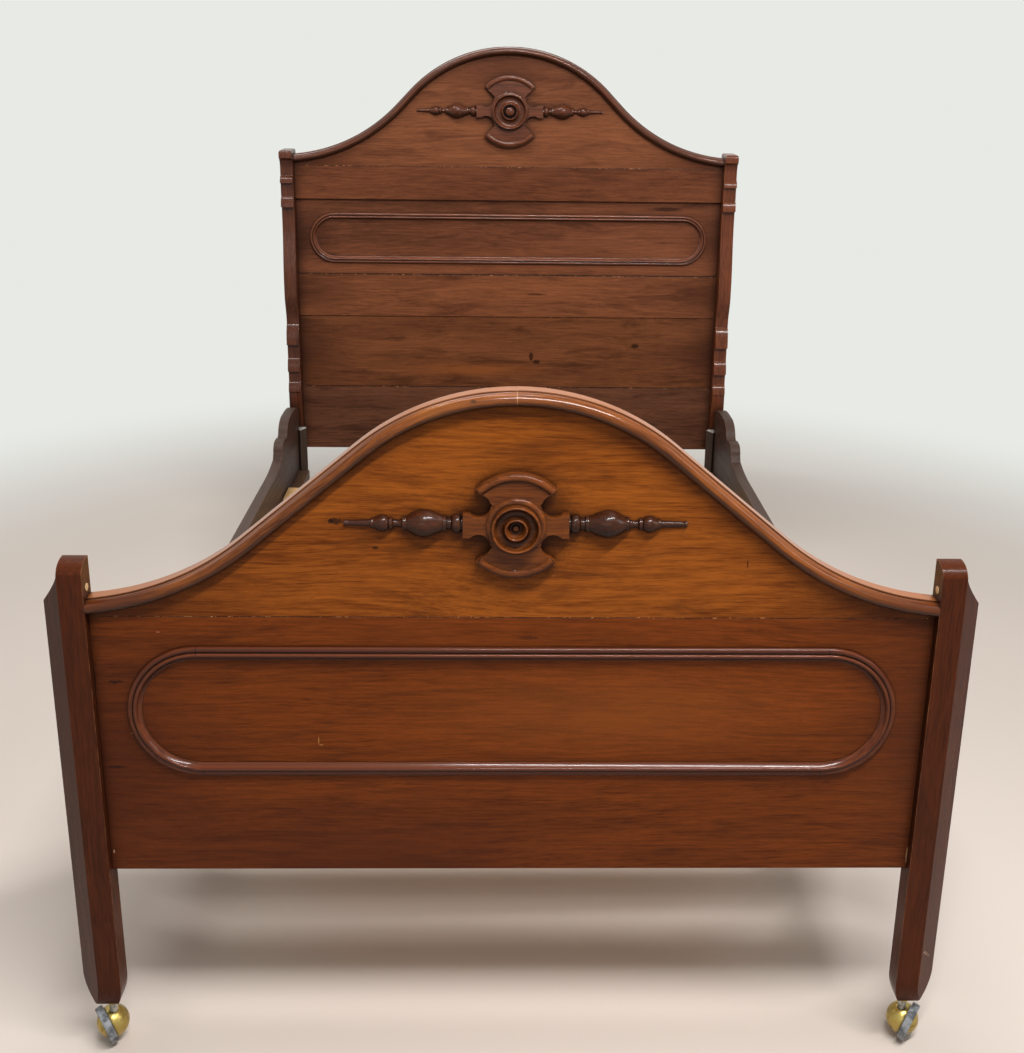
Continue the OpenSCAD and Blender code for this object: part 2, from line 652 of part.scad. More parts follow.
// A square bar set cornerwise between rail and post, planed flat against the rail
module corner_cleat() {
    y = head_post_front - 1;
    inset = cleat_w * 0.24;  // from the faces to the middle of the bar
    low_z = rail_z + 15;
    intersection() {
        translate([rail_x - inset, y - inset, low_z]) rotate([0, 0, 45])
            translate([-cleat_w / 2, -cleat_w / 2, 0]) cube([cleat_w, cleat_w, cleat_top - low_z]);
        across(rail_x - cleat_w, cleat_w) polygon([[y - cleat_w, low_z], [y, low_z],
            [y, cleat_top], [y - cleat_w, cleat_top - 5]]);
    }
}
module corner_cleat_right() { color("#4f3f34") corner_cleat(); }
module corner_cleat_left() { color("#4f3f34") left() corner_cleat(); }

module slats() {
    l = 2 * rail_x - 4;
    first_y = foot_post_back + 14;
    pitch = (head_post_front - slat_head_gap - slat_w - first_y) / (slat_count - 1);
    color("#e0bd85") for (i = [0:slat_count - 1])
        translate([-l / 2, first_y + i * pitch, slat_z - slat_t])
            cube([l, slat_w, slat_t]);
}

// ---------------------------------------------------------------- rail hardware

hook_h = 100;        // hook plate height
hook_w = 18;
hook_t = 3;
hook_reach = 16;     // how far a hook enters the post
hook_z = rail_z + 20;
hook_x = rail_x + rail_t / 2;

// Rebate in a rail end; dir points from the end into the rail
module hook_rebate(y, dir) {
    translate([hook_x - hook_w / 2 - seat_gap, min(y, y + dir * (hook_t + seat_gap)), hook_z])
        cube([hook_w + 2 * seat_gap, hook_t + seat_gap, hook_h + seat_gap]);
}

// Mortise in a post for the hook plate and the hooks; dir points into the post
module hook_mortise(y, dir) {
    translate([hook_x - hook_w / 2 - seat_gap, min(y, y + dir * (hook_t + seat_gap)), hook_z])
        cube([hook_w + 2 * seat_gap, hook_t + seat_gap, hook_h + seat_gap]);
    translate([hook_x - 4, min(y, y + dir * (hook_reach + 2)), hook_z + 10])
        cube([8, hook_reach + 2, hook_h - 20]);
}

// Two hooks on a plate let into the rail end; dir points from the rail into the post
module hook(y, dir) {
    translate([hook_x - hook_w / 2, min(y, y - dir * hook_t), hook_z])
        cube([hook_w, hook_t, hook_h]);
    for (z = [hook_z + 30, hook_z + 72]) {
        translate([hook_x - 1.5, min(y, y + dir * hook_reach), z]) cube([3, hook_reach, 14]);
        translate([hook_x - 1.5, min(y + dir * hook_reach, y + dir * (hook_reach - 8)), z - 12])
            cube([3, 8, 14]);
    }
}

// Slotted plate let into the post; dir points into the post
module post_plate(y, dir) {
    difference() {
        translate([hook_x - hook_w / 2, min(y, y + dir * hook_t), hook_z])
            cube([hook_w, hook_t, hook_h]);
        for (z = [hook_z + 12, hook_z + 54])
            translate([hook_x - 2, min(y, y + dir * hook_t) - 1, z]) cube([4, hook_t + 2, 34]);
    }
}
module both_ends(part) {
    for (s = [0, 1]) mirror([s, 0, 0]) {
        if (part == "hook") { hook(foot_post_back, -1); hook(head_post_front, 1); }
        else { post_plate(foot_post_back, -1); post_plate(head_post_front, 1); }
    }
}
module rail_hooks() { color("#4b4642") both_ends("hook"); }
module hook_plates() { color("#4b4642") both_ends("plate"); }

screw_r = 2.2;
screw_head_r = 4.5;
screw_head_h = 3;
screw_l = 48;
// Six places along the right ledger, each with +Z pointing outwards through the rail
module ledger_screw_places() {
    for (i = [0:5]) translate([rail_x, foot_post_back + slat_bed_l * (i + 0.5) / 6,
        slat_z - slat_t - ledger_h / 2]) rotate([0, 90, 0]) children();
}
module ledger_screws() {
    color("#6d6a66") for (s = [0, 1]) mirror([s, 0, 0]) ledger_screw_places() {
        translate([0, 0, -ledger_w]) cylinder(r = screw_r, h = screw_l - 2);
        translate([0, 0, -ledger_w]) cylinder(r = screw_head_r, h = screw_head_h);
    }
}

// ---------------------------------------------------------------- casters

module socket_hole(x, y) {
    translate([x, y, post_z - 1]) cylinder(r = socket_r + seat_gap, h = socket_l + 2);
}
module caster_socket() {
    difference() {
        union() {
            translate([0, 0, post_z - flange_t]) cylinder(r = flange_r, h = flange_t);
            translate([0, 0, post_z - flange_t]) cylinder(r = socket_r, h = socket_l + flange_t);
        }
        translate([0, 0, post_z - flange_t - 1]) cylinder(r = stem_r + run_gap, h = socket_l + 4);
    }
}

// Puts a caster of the foot right corner at a corner: sx, sy are 1 or -1
module at_corner(sx, head) {
    x = head ? head_stem_x : foot_stem_x;
    y = head ? head_stem_y : foot_stem_y;
    translate([sx * x, y, 0]) mirror([sx < 0 ? 1 : 0, 0, 0]) mirror([0, head ? 1 : 0, 0])
        rotate([0, 0, head ? 0 : -foot_turn]) children();
}
module caster_sockets() {
    color("#b08d3e") for (sx = [-1, 1], head = [false, true]) at_corner(sx, head) caster_socket();
}

// The axle frame: origin in the middle of the ball, +Z along the axle, outwards and down
module on_axle() {
    translate([offset_x, trail, ball_z]) rotate([0, 90 + wheel_lean, 0]) children();
}
module half_space(z0, up) {
    translate([-60, -60, up ? z0 : z0 - 120]) cube([120, 120, 120]);
}
hood_edge = wheel_mid - wheel_w / 2 - wheel_gap;
cap_edge = wheel_mid + wheel_w / 2 + 0.1;

module caster_frame() {
    collar_z = ball_z + ball_r + 2;
    translate([0, 0, ball_z - 5]) cylinder(r = stem_r, h = post_z + socket_l - 2 - ball_z + 5);
    translate([0, 0, collar_z]) cylinder(r = stem_r + 2.5, h = post_z - flange_t - lift_gap - collar_z);
    translate([-stem_r, 0, ball_z - 5]) cube([2 * stem_r, trail, 10]);
    on_axle() {
        translate([0, 0, -ball_r + shell_t + 1.2])
            cylinder(r = boss_r, h = ball_r - shell_t - 1.2 + hood_edge);
        cylinder(r = axle_r, h = cap_edge + 2);
        translate([0, 0, cap_edge]) cylinder(r = axle_r + 1.5, h = 2);
    }
}
module caster_hood() {
    difference() {
        on_axle() difference() {
            sphere(r = ball_r);
            sphere(r = ball_r - shell_t);
            half_space(hood_edge, true);
        }
        translate([0, 0, ball_z]) cylinder(r = stem_r + seat_gap, h = ball_r + 5);
    }
}
module caster_wheel() {
    on_axle() translate([0, 0, wheel_mid - wheel_w / 2]) difference() {
        cylinder(r = tread_r - 5 - run_gap, h = wheel_w);
        translate([0, 0, -1]) cylinder(r = axle_r + run_gap, h = wheel_w + 2);
    }
}
module caster_tread() {
    h = wheel_w / 2;
    on_axle() translate([0, 0, wheel_mid]) rotate_extrude() polygon([[tread_r - 5, -h],
        [tread_r - 0.8, -h], [tread_r, -h + 0.8], [tread_r, h - 0.8], [tread_r - 0.8, h],
        [tread_r - 5, h]]);
}
module caster_cap() {
    on_axle() difference() {
        sphere(r = ball_r);
        sphere(r = ball_r - shell_t);
        half_space(cap_edge, false);
    }
}

module foot_left_caster_frame() { color("#8d8a84") at_corner(-1, false) caster_frame(); }
module foot_left_caster_hood() { color("#b9974a") at_corner(-1, false) caster_hood(); }
module foot_left_caster_wheel() { color("#77736c") at_corner(-1, false) caster_wheel(); }
module foot_left_caster_tread() { color("#75777b") at_corner(-1, false) caster_tread(); }
module foot_left_caster_cap() { color("#b9974a") at_corner(-1, false) caster_cap(); }
module foot_right_caster_frame() { color("#8d8a84") at_corner(1, false) caster_frame(); }
module foot_right_caster_hood() { color("#b9974a") at_corner(1, false) caster_hood(); }
module foot_right_caster_wheel() { color("#77736c") at_corner(1, false) caster_wheel(); }
module foot_right_caster_tread() { color("#75777b") at_corner(1, false) caster_tread(); }
module foot_right_caster_cap() { color("#b9974a") at_corner(1, false) caster_cap(); }
module head_left_caster_frame() { color("#8d8a84") at_corner(-1, true) caster_frame(); }
module head_left_caster_hood() { color("#b9974a") at_corner(-1, true) caster_hood(); }
module head_left_caster_wheel() { color("#77736c") at_corner(-1, true) caster_wheel(); }
module head_left_caster_tread() { color("#75777b") at_corner(-1, true) caster_tread(); }
module head_left_caster_cap() { color("#b9974a") at_corner(-1, true) caster_cap(); }
module head_right_caster_frame() { color("#8d8a84") at_corner(1, true) caster_frame(); }
module head_right_caster_hood() { color("#b9974a") at_corner(1, true) caster_hood(); }
module head_right_caster_wheel() { color("#77736c") at_corner(1, true) caster_wheel(); }
module head_right_caster_tread() { color("#75777b") at_corner(1, true) caster_tread(); }
module head_right_caster_cap() { color("#b9974a") at_corner(1, true) caster_cap(); }

foot_post_left();
foot_post_right();
foot_arch_board();
foot_lower_board();
foot_crest_molding_left();
foot_crest_molding_right();
foot_panel_molding();
foot_plaque();
foot_roundel();
foot_spindle_left();
foot_spindle_right();
foot_post_plugs();
head_post_left();
head_post_right();
head_arch_board();
head_frieze_board();
head_recessed_panel();
head_panel_molding();
head_middle_board();
head_lower_board();
head_bottom_board();
head_crest_molding_left();
head_crest_molding_right();
head_plaque();
head_roundel();
head_spindle_left();
head_spindle_right();
side_rail_left();
side_rail_right();
rail_ledger_left();
rail_ledger_right();
corner_cleat_left();
corner_cleat_right();
slats();
rail_hooks();
hook_plates();
ledger_screws();
caster_sockets();
foot_left_caster_frame();
foot_left_caster_hood();
foot_left_caster_wheel();
foot_left_caster_tread();
foot_left_caster_cap();
foot_right_caster_frame();
foot_right_caster_hood();
foot_right_caster_wheel();
foot_right_caster_tread();
foot_right_caster_cap();
head_left_caster_frame();
head_left_caster_hood();
head_left_caster_wheel();
head_left_caster_tread();
head_left_caster_cap();
head_right_caster_frame();
head_right_caster_hood();
head_right_caster_wheel();
head_right_caster_tread();
head_right_caster_cap();
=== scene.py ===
import json
from math import atan2, cos, hypot, pi, radians, sin
import bpy
from mathutils import Matrix, Vector

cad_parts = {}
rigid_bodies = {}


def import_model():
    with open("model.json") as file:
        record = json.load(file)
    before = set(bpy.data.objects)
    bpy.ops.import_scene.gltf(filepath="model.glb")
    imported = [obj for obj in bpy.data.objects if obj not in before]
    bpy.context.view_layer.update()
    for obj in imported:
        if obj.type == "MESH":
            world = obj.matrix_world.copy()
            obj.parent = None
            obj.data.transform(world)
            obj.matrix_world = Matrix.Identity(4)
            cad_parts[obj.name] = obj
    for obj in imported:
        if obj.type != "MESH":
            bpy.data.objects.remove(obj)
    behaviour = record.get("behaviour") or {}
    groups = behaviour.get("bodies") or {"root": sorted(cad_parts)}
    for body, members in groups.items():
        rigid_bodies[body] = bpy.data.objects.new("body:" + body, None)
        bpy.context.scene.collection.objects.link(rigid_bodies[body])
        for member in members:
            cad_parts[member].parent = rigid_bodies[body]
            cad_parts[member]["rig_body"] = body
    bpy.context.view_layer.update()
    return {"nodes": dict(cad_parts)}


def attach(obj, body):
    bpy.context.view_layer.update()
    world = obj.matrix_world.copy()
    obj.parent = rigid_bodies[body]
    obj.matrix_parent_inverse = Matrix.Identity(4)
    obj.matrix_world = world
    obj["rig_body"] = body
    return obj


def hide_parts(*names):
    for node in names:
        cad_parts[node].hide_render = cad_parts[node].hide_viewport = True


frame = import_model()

nodes = frame["nodes"]
print("stage: frame loaded,", len(nodes), "nodes")

# The camera stands at the foot of the bed and looks down over the footboard; metres and degrees
shot = {"place": (-0.025, -2.6227, 1.5358), "yaw": 1.318, "pitch": 16.501, "roll": 0.751,
        "lens": 42.21, "sensor": 36, "shift": (-0.0135, -0.0994), "clip": (0.05, 60)}
ahead = Vector((sin(radians(shot["yaw"])), cos(radians(shot["yaw"])), 0))
side = Vector((ahead.y, -ahead.x, 0))
down, tilt = radians(shot["pitch"]), radians(shot["roll"])
look = ahead * cos(down) - Vector((0, 0, sin(down)))
rise = ahead * sin(down) + Vector((0, 0, cos(down)))
right = side * cos(tilt) + rise * sin(tilt)
above = rise * cos(tilt) - side * sin(tilt)
cameraData = bpy.data.cameras.new("camera")
cameraData.lens, cameraData.sensor_width = shot["lens"], shot["sensor"]
cameraData.shift_x, cameraData.shift_y = shot["shift"]
cameraData.clip_start, cameraData.clip_end = shot["clip"]
camera = bpy.data.objects.new("camera", cameraData)
bpy.context.scene.collection.objects.link(camera)
camera.matrix_world = Matrix.Translation(shot["place"]) @ Matrix((right, above, -look)).transposed().to_4x4()
bpy.context.scene.camera = camera

# Narrow strips high above each board light the moldings' edges, weak panels fill the rest; watts
lamps = [
    {"name": "frontStrip", "place": (0.7, -2.05, 3.15), "aim": (0, -0.7, 0.7), "size": (2.0, 0.14), "power": 112},
    {"name": "frontPanel", "place": (-0.6, -4.6, 1.9), "aim": (0, -0.6, 0.7), "size": (2.8, 1.6), "power": 12},
    {"name": "rightPanel", "place": (3.0, -1.9, 2.2), "aim": (0, -0.6, 0.6), "size": (0.8, 1.4), "power": 15},
    {"name": "leftPanel", "place": (-3.2, 0.1, 2.4), "aim": (0, 0, 0.7), "size": (1.2, 1.6), "power": 10},
    {"name": "headStrip", "place": (-0.5, -0.2, 3.2), "aim": (0, 1.0, 1.0), "size": (1.8, 0.11), "power": 36},
    {"name": "backPanel", "place": (-0.3, 2.9, 3.3), "aim": (0, -0.3, 0.9), "size": (2.6, 0.8), "power": 34}]
for lamp in lamps:
    data = bpy.data.lights.new(lamp["name"], "AREA")
    data.shape, data.energy = "RECTANGLE", lamp["power"]
    data.size, data.size_y = lamp["size"]
    holder = bpy.data.objects.new(lamp["name"], data)
    bpy.context.scene.collection.objects.link(holder)
    aim = Vector(lamp["aim"]) - Vector(lamp["place"])
    holder.matrix_world = Matrix.Translation(lamp["place"]) @ aim.to_track_quat("-Z", "Y").to_matrix().to_4x4()
bpy.context.scene.view_settings.view_transform = "Standard"
print("stage: camera and lamps")


# A colour written as #rrggbb, as the linear values that a socket takes
def tint(code):
    parts = [int(code[i:i + 2], 16) / 255 for i in (1, 3, 5)]
    return (*[p / 12.92 if p <= 0.04045 else ((p + 0.055) / 1.055) ** 2.4 for p in parts], 1.0)


# Adds a shader node; i0, i1 and so on are inputs by number, and a value that is a socket gets linked
def place(tree, kind, settings=None, **inputs):
    node = tree.nodes.new("ShaderNode" + kind)
    for key, value in (settings or {}).items():
        setattr(node, key, value)
    for name, value in inputs.items():
        numbered = name[0] == "i" and name[1:].isdigit()
        socket = node.inputs[int(name[1:]) if numbered else name.replace("_", " ")]
        if isinstance(value, bpy.types.NodeSocket):
            tree.links.new(value, socket)
        else:
            socket.default_value = value
    return node


def calc(tree, operation, a, b=0.0, clamp=False):
    return place(tree, "Math", {"operation": operation, "use_clamp": clamp}, i0=a, i1=b).outputs[0]


def plus(tree, a, b, clamp=False):
    return calc(tree, "ADD", a, b, clamp)


def minus(tree, a, b, clamp=False):
    return calc(tree, "SUBTRACT", a, b, clamp)


def times(tree, a, b, clamp=False):
    return calc(tree, "MULTIPLY", a, b, clamp)


# A noise value moved to lie round zero
def centred(tree, value):
    return minus(tree, value, 0.5)


def span(tree, value, low, high, outLow=0.0, outHigh=1.0):
    return place(tree, "MapRange", {"interpolation_type": "SMOOTHSTEP"}, Value=value, From_Min=low, From_Max=high,
                 To_Min=outLow, To_Max=outHigh).outputs[0]


def mixColor(tree, factor, a, b):
    return place(tree, "Mix", {"data_type": "RGBA", "blend_type": "MIX"}, i0=factor, i6=a, i7=b).outputs[2]


def vectorCalc(tree, operation, a, b):
    return place(tree, "VectorMath", {"operation": operation}, i0=a, i1=b).outputs


def axisOf(tree, vector, axis):
    return place(tree, "SeparateXYZ", None, Vector=vector).outputs["XYZ".index(axis)]


# Noise with its own scale along each axis, then its detail, roughness and warp
def stretched(tree, vector, scale, detail=3.0, rough=0.55, warp=0.0):
    squeezed = vectorCalc(tree, "MULTIPLY", vector, scale)[0]
    return place(tree, "TexNoise", None, Vector=squeezed, Scale=1.0, Detail=detail, Roughness=rough,
                 Distortion=warp).outputs[0]


# An empty shader group with its sockets, each given as a label and a kind
def newGroup(name, inputs, outputs):
    tree = bpy.data.node_groups.new(name, "ShaderNodeTree")
    for way, sockets in (("INPUT", inputs), ("OUTPUT", outputs)):
        for label, kind in sockets.items():
            tree.interface.new_socket(label, in_out=way, socket_type="NodeSocket" + kind)
    return tree, tree.nodes.new("NodeGroupInput").outputs, tree.nodes.new("NodeGroupOutput").inputs


def useGroup(tree, group, **inputs):
    return place(tree, "Group", {"node_tree": group}, **inputs).outputs


# Grain that runs along x: broad zones, gently wandering streaks, rings, blotches and pores.
# Each layer is a noise: its scale along and across the board, its detail, its roughness and its warp.
grainLayers = {"zones": ((0.8, 7, 7), 3), "medium": ((4.2, 105, 105), 4, 0.65), "fine": ((11, 250, 250), 3, 0.6),
               "hair": ((34, 700, 700), 2, 0.5), "contour": ((0.42, 3.4, 3.4), 1.5, 0.4),
               "blotch": ((5, 30, 30), 5, 0.65, 0.6)}
grainShape = {"wanderNoise": ((1.6, 3.5, 3.5), 2), "wander": 0.05, "rings": 190, "ringDrift": 5,
              "pores": (0.60, 0.72), "blotches": (0.50, 0.70)}
grainShares = {"zones": 1.8, "medium": 0.75, "fine": 2.3, "hair": 1.9, "rings": 0.25}
grainRelief = {"fine": 0.6, "pores": 0.5, "dullPores": 0.3}
grainGroup, given, made = newGroup(
    "wood grain",
    {"Vector": "Vector", "Light": "Color", "Dark": "Color", "Patch": "Color", "Zones": "Float", "Figure": "Float",
     "Streaks": "Float", "Pores": "Float", "Patches": "Float"},
    {"Color": "Color", "Height": "Float", "Shine": "Float"})
tree = grainGroup
bend = stretched(tree, given["Vector"], *grainShape["wanderNoise"])
wander = times(tree, centred(tree, bend), grainShape["wander"])
shifted = place(tree, "CombineXYZ", None, Y=wander, Z=wander).outputs[0]
path = vectorCalc(tree, "ADD", given["Vector"], shifted)[0]
layers = {name: stretched(tree, path, *numbers) for name, numbers in grainLayers.items()}
rings = calc(tree, "SINE", plus(tree, times(tree, layers["contour"], grainShape["rings"]),
                                times(tree, layers["medium"], grainShape["ringDrift"])))
pores = span(tree, layers["hair"], *grainShape["pores"])
level = times(tree, centred(tree, layers["zones"]), times(tree, given["Zones"], grainShares["zones"]))
for name in ("medium", "fine", "hair"):
    swing = times(tree, centred(tree, layers[name]), times(tree, given["Streaks"], grainShares[name]))
    level = plus(tree, level, swing)
level = plus(tree, level, times(tree, rings, times(tree, given["Figure"], grainShares["rings"])))
level = plus(tree, level, 0.5, True)
blotches = span(tree, layers["blotch"], *grainShape["blotches"])
color = mixColor(tree, level, given["Dark"], given["Light"])
color = mixColor(tree, times(tree, blotches, given["Patches"]), color, given["Patch"])
color = mixColor(tree, times(tree, pores, given["Pores"]), color, given["Patch"])
fineHeight = times(tree, layers["fine"], grainRelief["fine"])
tree.links.new(color, made["Color"])
tree.links.new(minus(tree, fineHeight, times(tree, pores, grainRelief["pores"])), made["Height"])
tree.links.new(minus(tree, layers["medium"], times(tree, pores, grainRelief["dullPores"])), made["Shine"])

# Edges rubbed through the finish, and edges painted light as a highlight, where a rounded normal leaves the true one,
# broken up by noise
wearAndLitEdgeShape = {"samples": 6, "turned": (0.01, 0.14), "patchNoise": ((38, 38, 38), 5, 0.7), "patches": (0.38, 0.62)}
wearAndEdgeLightGroup, given, made = newGroup(
    "rubbed and lit edges", {"Vector": "Vector", "Width": "Float", "Amount": "Float"}, {"Mask": "Float"})
tree = wearAndEdgeLightGroup
rounded = place(tree, "Bevel", {"samples": wearAndLitEdgeShape["samples"]}, Radius=given["Width"]).outputs[0]
facing = vectorCalc(tree, "DOT_PRODUCT", rounded, place(tree, "NewGeometry").outputs["Normal"])["Value"]
edge = span(tree, minus(tree, 1.0, facing), *wearAndLitEdgeShape["turned"])
broken = span(tree, stretched(tree, given["Vector"], *wearAndLitEdgeShape["patchNoise"]), *wearAndLitEdgeShape["patches"])
tree.links.new(times(tree, times(tree, edge, broken), given["Amount"], True), made["Mask"])

# Old polish and dust that gather in corners, together with painted shade in corners, grooves and under ledges
creviceShape = {"samples": 6, "openness": (0.95, 0.35)}
creviceDirtAndShadeGroup, given, made = newGroup("crevice dust and shade", {"Reach": "Float", "Amount": "Float"}, {"Mask": "Float"})
tree = creviceDirtAndShadeGroup
openness = place(tree, "AmbientOcclusion", {"samples": creviceShape["samples"]}, Distance=given["Reach"]).outputs["AO"]
closed = span(tree, openness, *creviceShape["openness"])
tree.links.new(times(tree, closed, given["Amount"]), made["Mask"])

# One mark with a ragged rim: a knot, a dent, a scratch or a chip, or a wide soft patch of painted shade, or of painted
# light where it is paler
rimNoise = ((420, 420, 420), 3, 0.6)
markAndShadeGroup, given, made = newGroup(
    "mark and painted shade", {"Vector": "Vector", "Centre": "Vector", "Size": "Vector", "Ragged": "Float", "Soft": "Float"},
    {"Mask": "Float"})
tree = markAndShadeGroup
offset = vectorCalc(tree, "SUBTRACT", given["Vector"], given["Centre"])[0]
offset = vectorCalc(tree, "DIVIDE", offset, given["Size"])[0]
reach = place(tree, "VectorMath", {"operation": "LENGTH"}, i0=offset).outputs["Value"]
rim = stretched(tree, given["Vector"], *rimNoise)
reach = plus(tree, reach, times(tree, centred(tree, rim), given["Ragged"]))
tree.links.new(span(tree, reach, 1.0, minus(tree, 1.0, given["Soft"])), made["Mask"])

# A glued seam: a thin dark line that sways a little, and whose finish has chipped here and there
seamShape = {"swayNoise": ((30, 30, 30), 3), "sway": 0.0012, "lineFade": 0.0004,
             "chipNoise": ((95, 95, 95), 4, 0.65), "chips": (0.50, 0.64), "chipWidth": 1.3, "chipFade": 0.0003,
             "runNoise": ((5, 5, 5), 2), "runs": (0.42, 0.60)}
seamGroup, given, made = newGroup(
    "chipped seam", {"Vector": "Vector", "Level": "Float", "Width": "Float"}, {"Line": "Float", "Chips": "Float"})
tree = seamGroup
bend = stretched(tree, given["Vector"], *seamShape["swayNoise"])
sway = times(tree, centred(tree, bend), seamShape["sway"])
level = plus(tree, axisOf(tree, given["Vector"], "Z"), sway)
apart = calc(tree, "ABSOLUTE", minus(tree, level, given["Level"]))
tree.links.new(span(tree, minus(tree, apart, given["Width"]), seamShape["lineFade"], 0.0), made["Line"])
chips = span(tree, stretched(tree, given["Vector"], *seamShape["chipNoise"]), *seamShape["chips"])
runs = span(tree, stretched(tree, given["Vector"], *seamShape["runNoise"]), *seamShape["runs"])
halfWide = times(tree, times(tree, times(tree, given["Width"], seamShape["chipWidth"]), chips), runs)
chipped = span(tree, minus(tree, apart, halfWide), seamShape["chipFade"], 0.0)
tree.links.new(times(tree, chipped, chips), made["Chips"])
print("stage: shader groups")

# What a wood finish has where its piece says nothing else; lengths in metres
plainWood = {"turn": (0, 0, 0), "zones": 0.6, "figure": 0.35, "streaks": 0.8, "pores": 0.35, "patches": 0.3,
             "rough": 0.38, "gloss": 0.11, "coat": 0.0, "coatRough": 0.16, "relief": 0.00006, "waves": 0.0005,
             "wear": 0.5, "wearWidth": 0.0025, "bare": "#a5704a", "dirt": 0.75, "reach": 0.036, "grime": "#1c0d08",
             "marks": [], "topShare": 0.8}
woodShape = {"shine": -0.25, "crestTop": (-0.0013, -0.0004), "faceUp": (0.5, 0.8), "faceDown": (0.25, -0.7),
             "underShadeColor": "#1a0a05", "seamColor": "#2a1309", "dirtRough": 0.25, "waveNoise": ((5, 16, 16), 2, 0.5)}


# Builds a varnished wood finish from a piece's own values; grain runs along x after the turn
def woodFinish(name, own):
    looks = {**plainWood, **own}
    material = bpy.data.materials.new(name)
    material.use_nodes = True
    tree = material.node_tree
    tree.nodes.clear()
    spot = place(tree, "TexCoord").outputs["Object"]
    source = spot
    if looks.get("path"):
        source = place(tree, "Attribute", {"attribute_name": "grainPath"}).outputs["Vector"]
    turned = place(tree, "Mapping", None, Vector=source, Location=looks["slide"],
                   Rotation=[radians(a) for a in looks["turn"]]).outputs[0]
    grain = useGroup(tree, grainGroup, Vector=turned, Light=tint(looks["light"]), Dark=tint(looks["dark"]),
                     Patch=tint(looks["patch"]), Zones=looks["zones"], Figure=looks["figure"],
                     Streaks=looks["streaks"], Pores=looks["pores"], Patches=looks["patches"])
    color = grain["Color"]
    roughness = plus(tree, looks["rough"], times(tree, centred(tree, grain["Shine"]), woodShape["shine"]))
    for markEntry in looks["marks"]:
        mask = useGroup(tree, markAndShadeGroup, Vector=spot, Centre=markEntry["at"], Size=markEntry["size"],
                        Ragged=markEntry["ragged"], Soft=markEntry["soft"])["Mask"]
        color = mixColor(tree, times(tree, mask, markEntry["strength"]), color, tint(markEntry["color"]))
    # Up-facing faces, and along a crest the strip next to its top edge, take the top colour: painted light as if lit
    # from above; where the top colour is darker, as on the rails, it is painted shade
    if looks.get("top"):
        if looks.get("path"):
            upper = span(tree, axisOf(tree, source, "Y"), *woodShape["crestTop"])
        else:
            upper = span(tree, axisOf(tree, place(tree, "NewGeometry").outputs["Normal"], "Z"), *woodShape["faceUp"])
        color = mixColor(tree, times(tree, upper, looks["topShare"]), color, tint(looks["top"]))
    # Faces that turn downward are darkened: painted shade
    if looks.get("under"):
        slope = axisOf(tree, place(tree, "NewGeometry").outputs["Normal"], "Z")
        shaded = span(tree, slope, *woodShape["faceDown"], 0.0, looks["under"])
        color = mixColor(tree, shaded, color, tint(woodShape["underShadeColor"]))
    if looks.get("seam"):
        seamLevel, seamWidth, seamBare = looks["seam"]
        seam = useGroup(tree, seamGroup, Vector=spot, Level=seamLevel, Width=seamWidth)
        color = mixColor(tree, seam["Line"], color, tint(woodShape["seamColor"]))
        color = mixColor(tree, seam["Chips"], color, tint(seamBare))
    # Rubbed edges go to the bare colour: real wear, and in part a painted edge highlight
    wornAndLit = useGroup(tree, wearAndEdgeLightGroup, Vector=spot, Width=looks["wearWidth"], Amount=looks["wear"])["Mask"]
    color = mixColor(tree, wornAndLit, color, tint(looks["bare"]))
    # Corners and grooves are darkened: old polish and dust, together with painted shade
    dirt = useGroup(tree, creviceDirtAndShadeGroup, Reach=looks["reach"], Amount=looks["dirt"])["Mask"]
    color = mixColor(tree, dirt, color, tint(looks["grime"]))
    roughness = plus(tree, roughness, times(tree, dirt, woodShape["dirtRough"]), True)
    waves = stretched(tree, turned, *woodShape["waveNoise"])
    height = plus(tree, times(tree, grain["Height"], looks["relief"]), times(tree, waves, looks["waves"]))
    normal = place(tree, "Bump", None, Strength=1.0, Distance=1.0, Height=height).outputs[0]
    shader = place(tree, "BsdfPrincipled", None, Base_Color=color, Roughness=roughness, Normal=normal,
                   IOR=1.5, Specular_IOR_Level=looks["gloss"], Coat_Weight=looks["coat"],
                   Coat_Roughness=looks["coatRough"])
    place(tree, "OutputMaterial", None, Surface=shader.outputs[0])
    return material


# A mark at a spot on a piece, with its half size each way
def mark(at, size, color, strength=0.8, ragged=0.5, soft=0.45):
    return {"at": at, "size": size, "color": color, "strength": strength, "ragged": ragged, "soft": soft}


# A wide patch of painted shade that fades from its middle; where its colour is paler than the wood it is painted light
def paintedShade(at, size, color, strength, ragged=0.5):
    return mark(at, size, color, strength, ragged, 1.0)


def pieceName(node):
    words = node.split("_")
    return words[0] + "".join(w.capitalize() for w in words[1:])


def pickOnly(piece):
    for other in bpy.context.selected_objects:
        other.select_set(False)
    piece.select_set(True)
    bpy.context.view_layer.objects.active = piece


copyLimits = {"merge": 0.00002, "flat": 0.4, "smooth": 40}  # metres, degrees, degrees


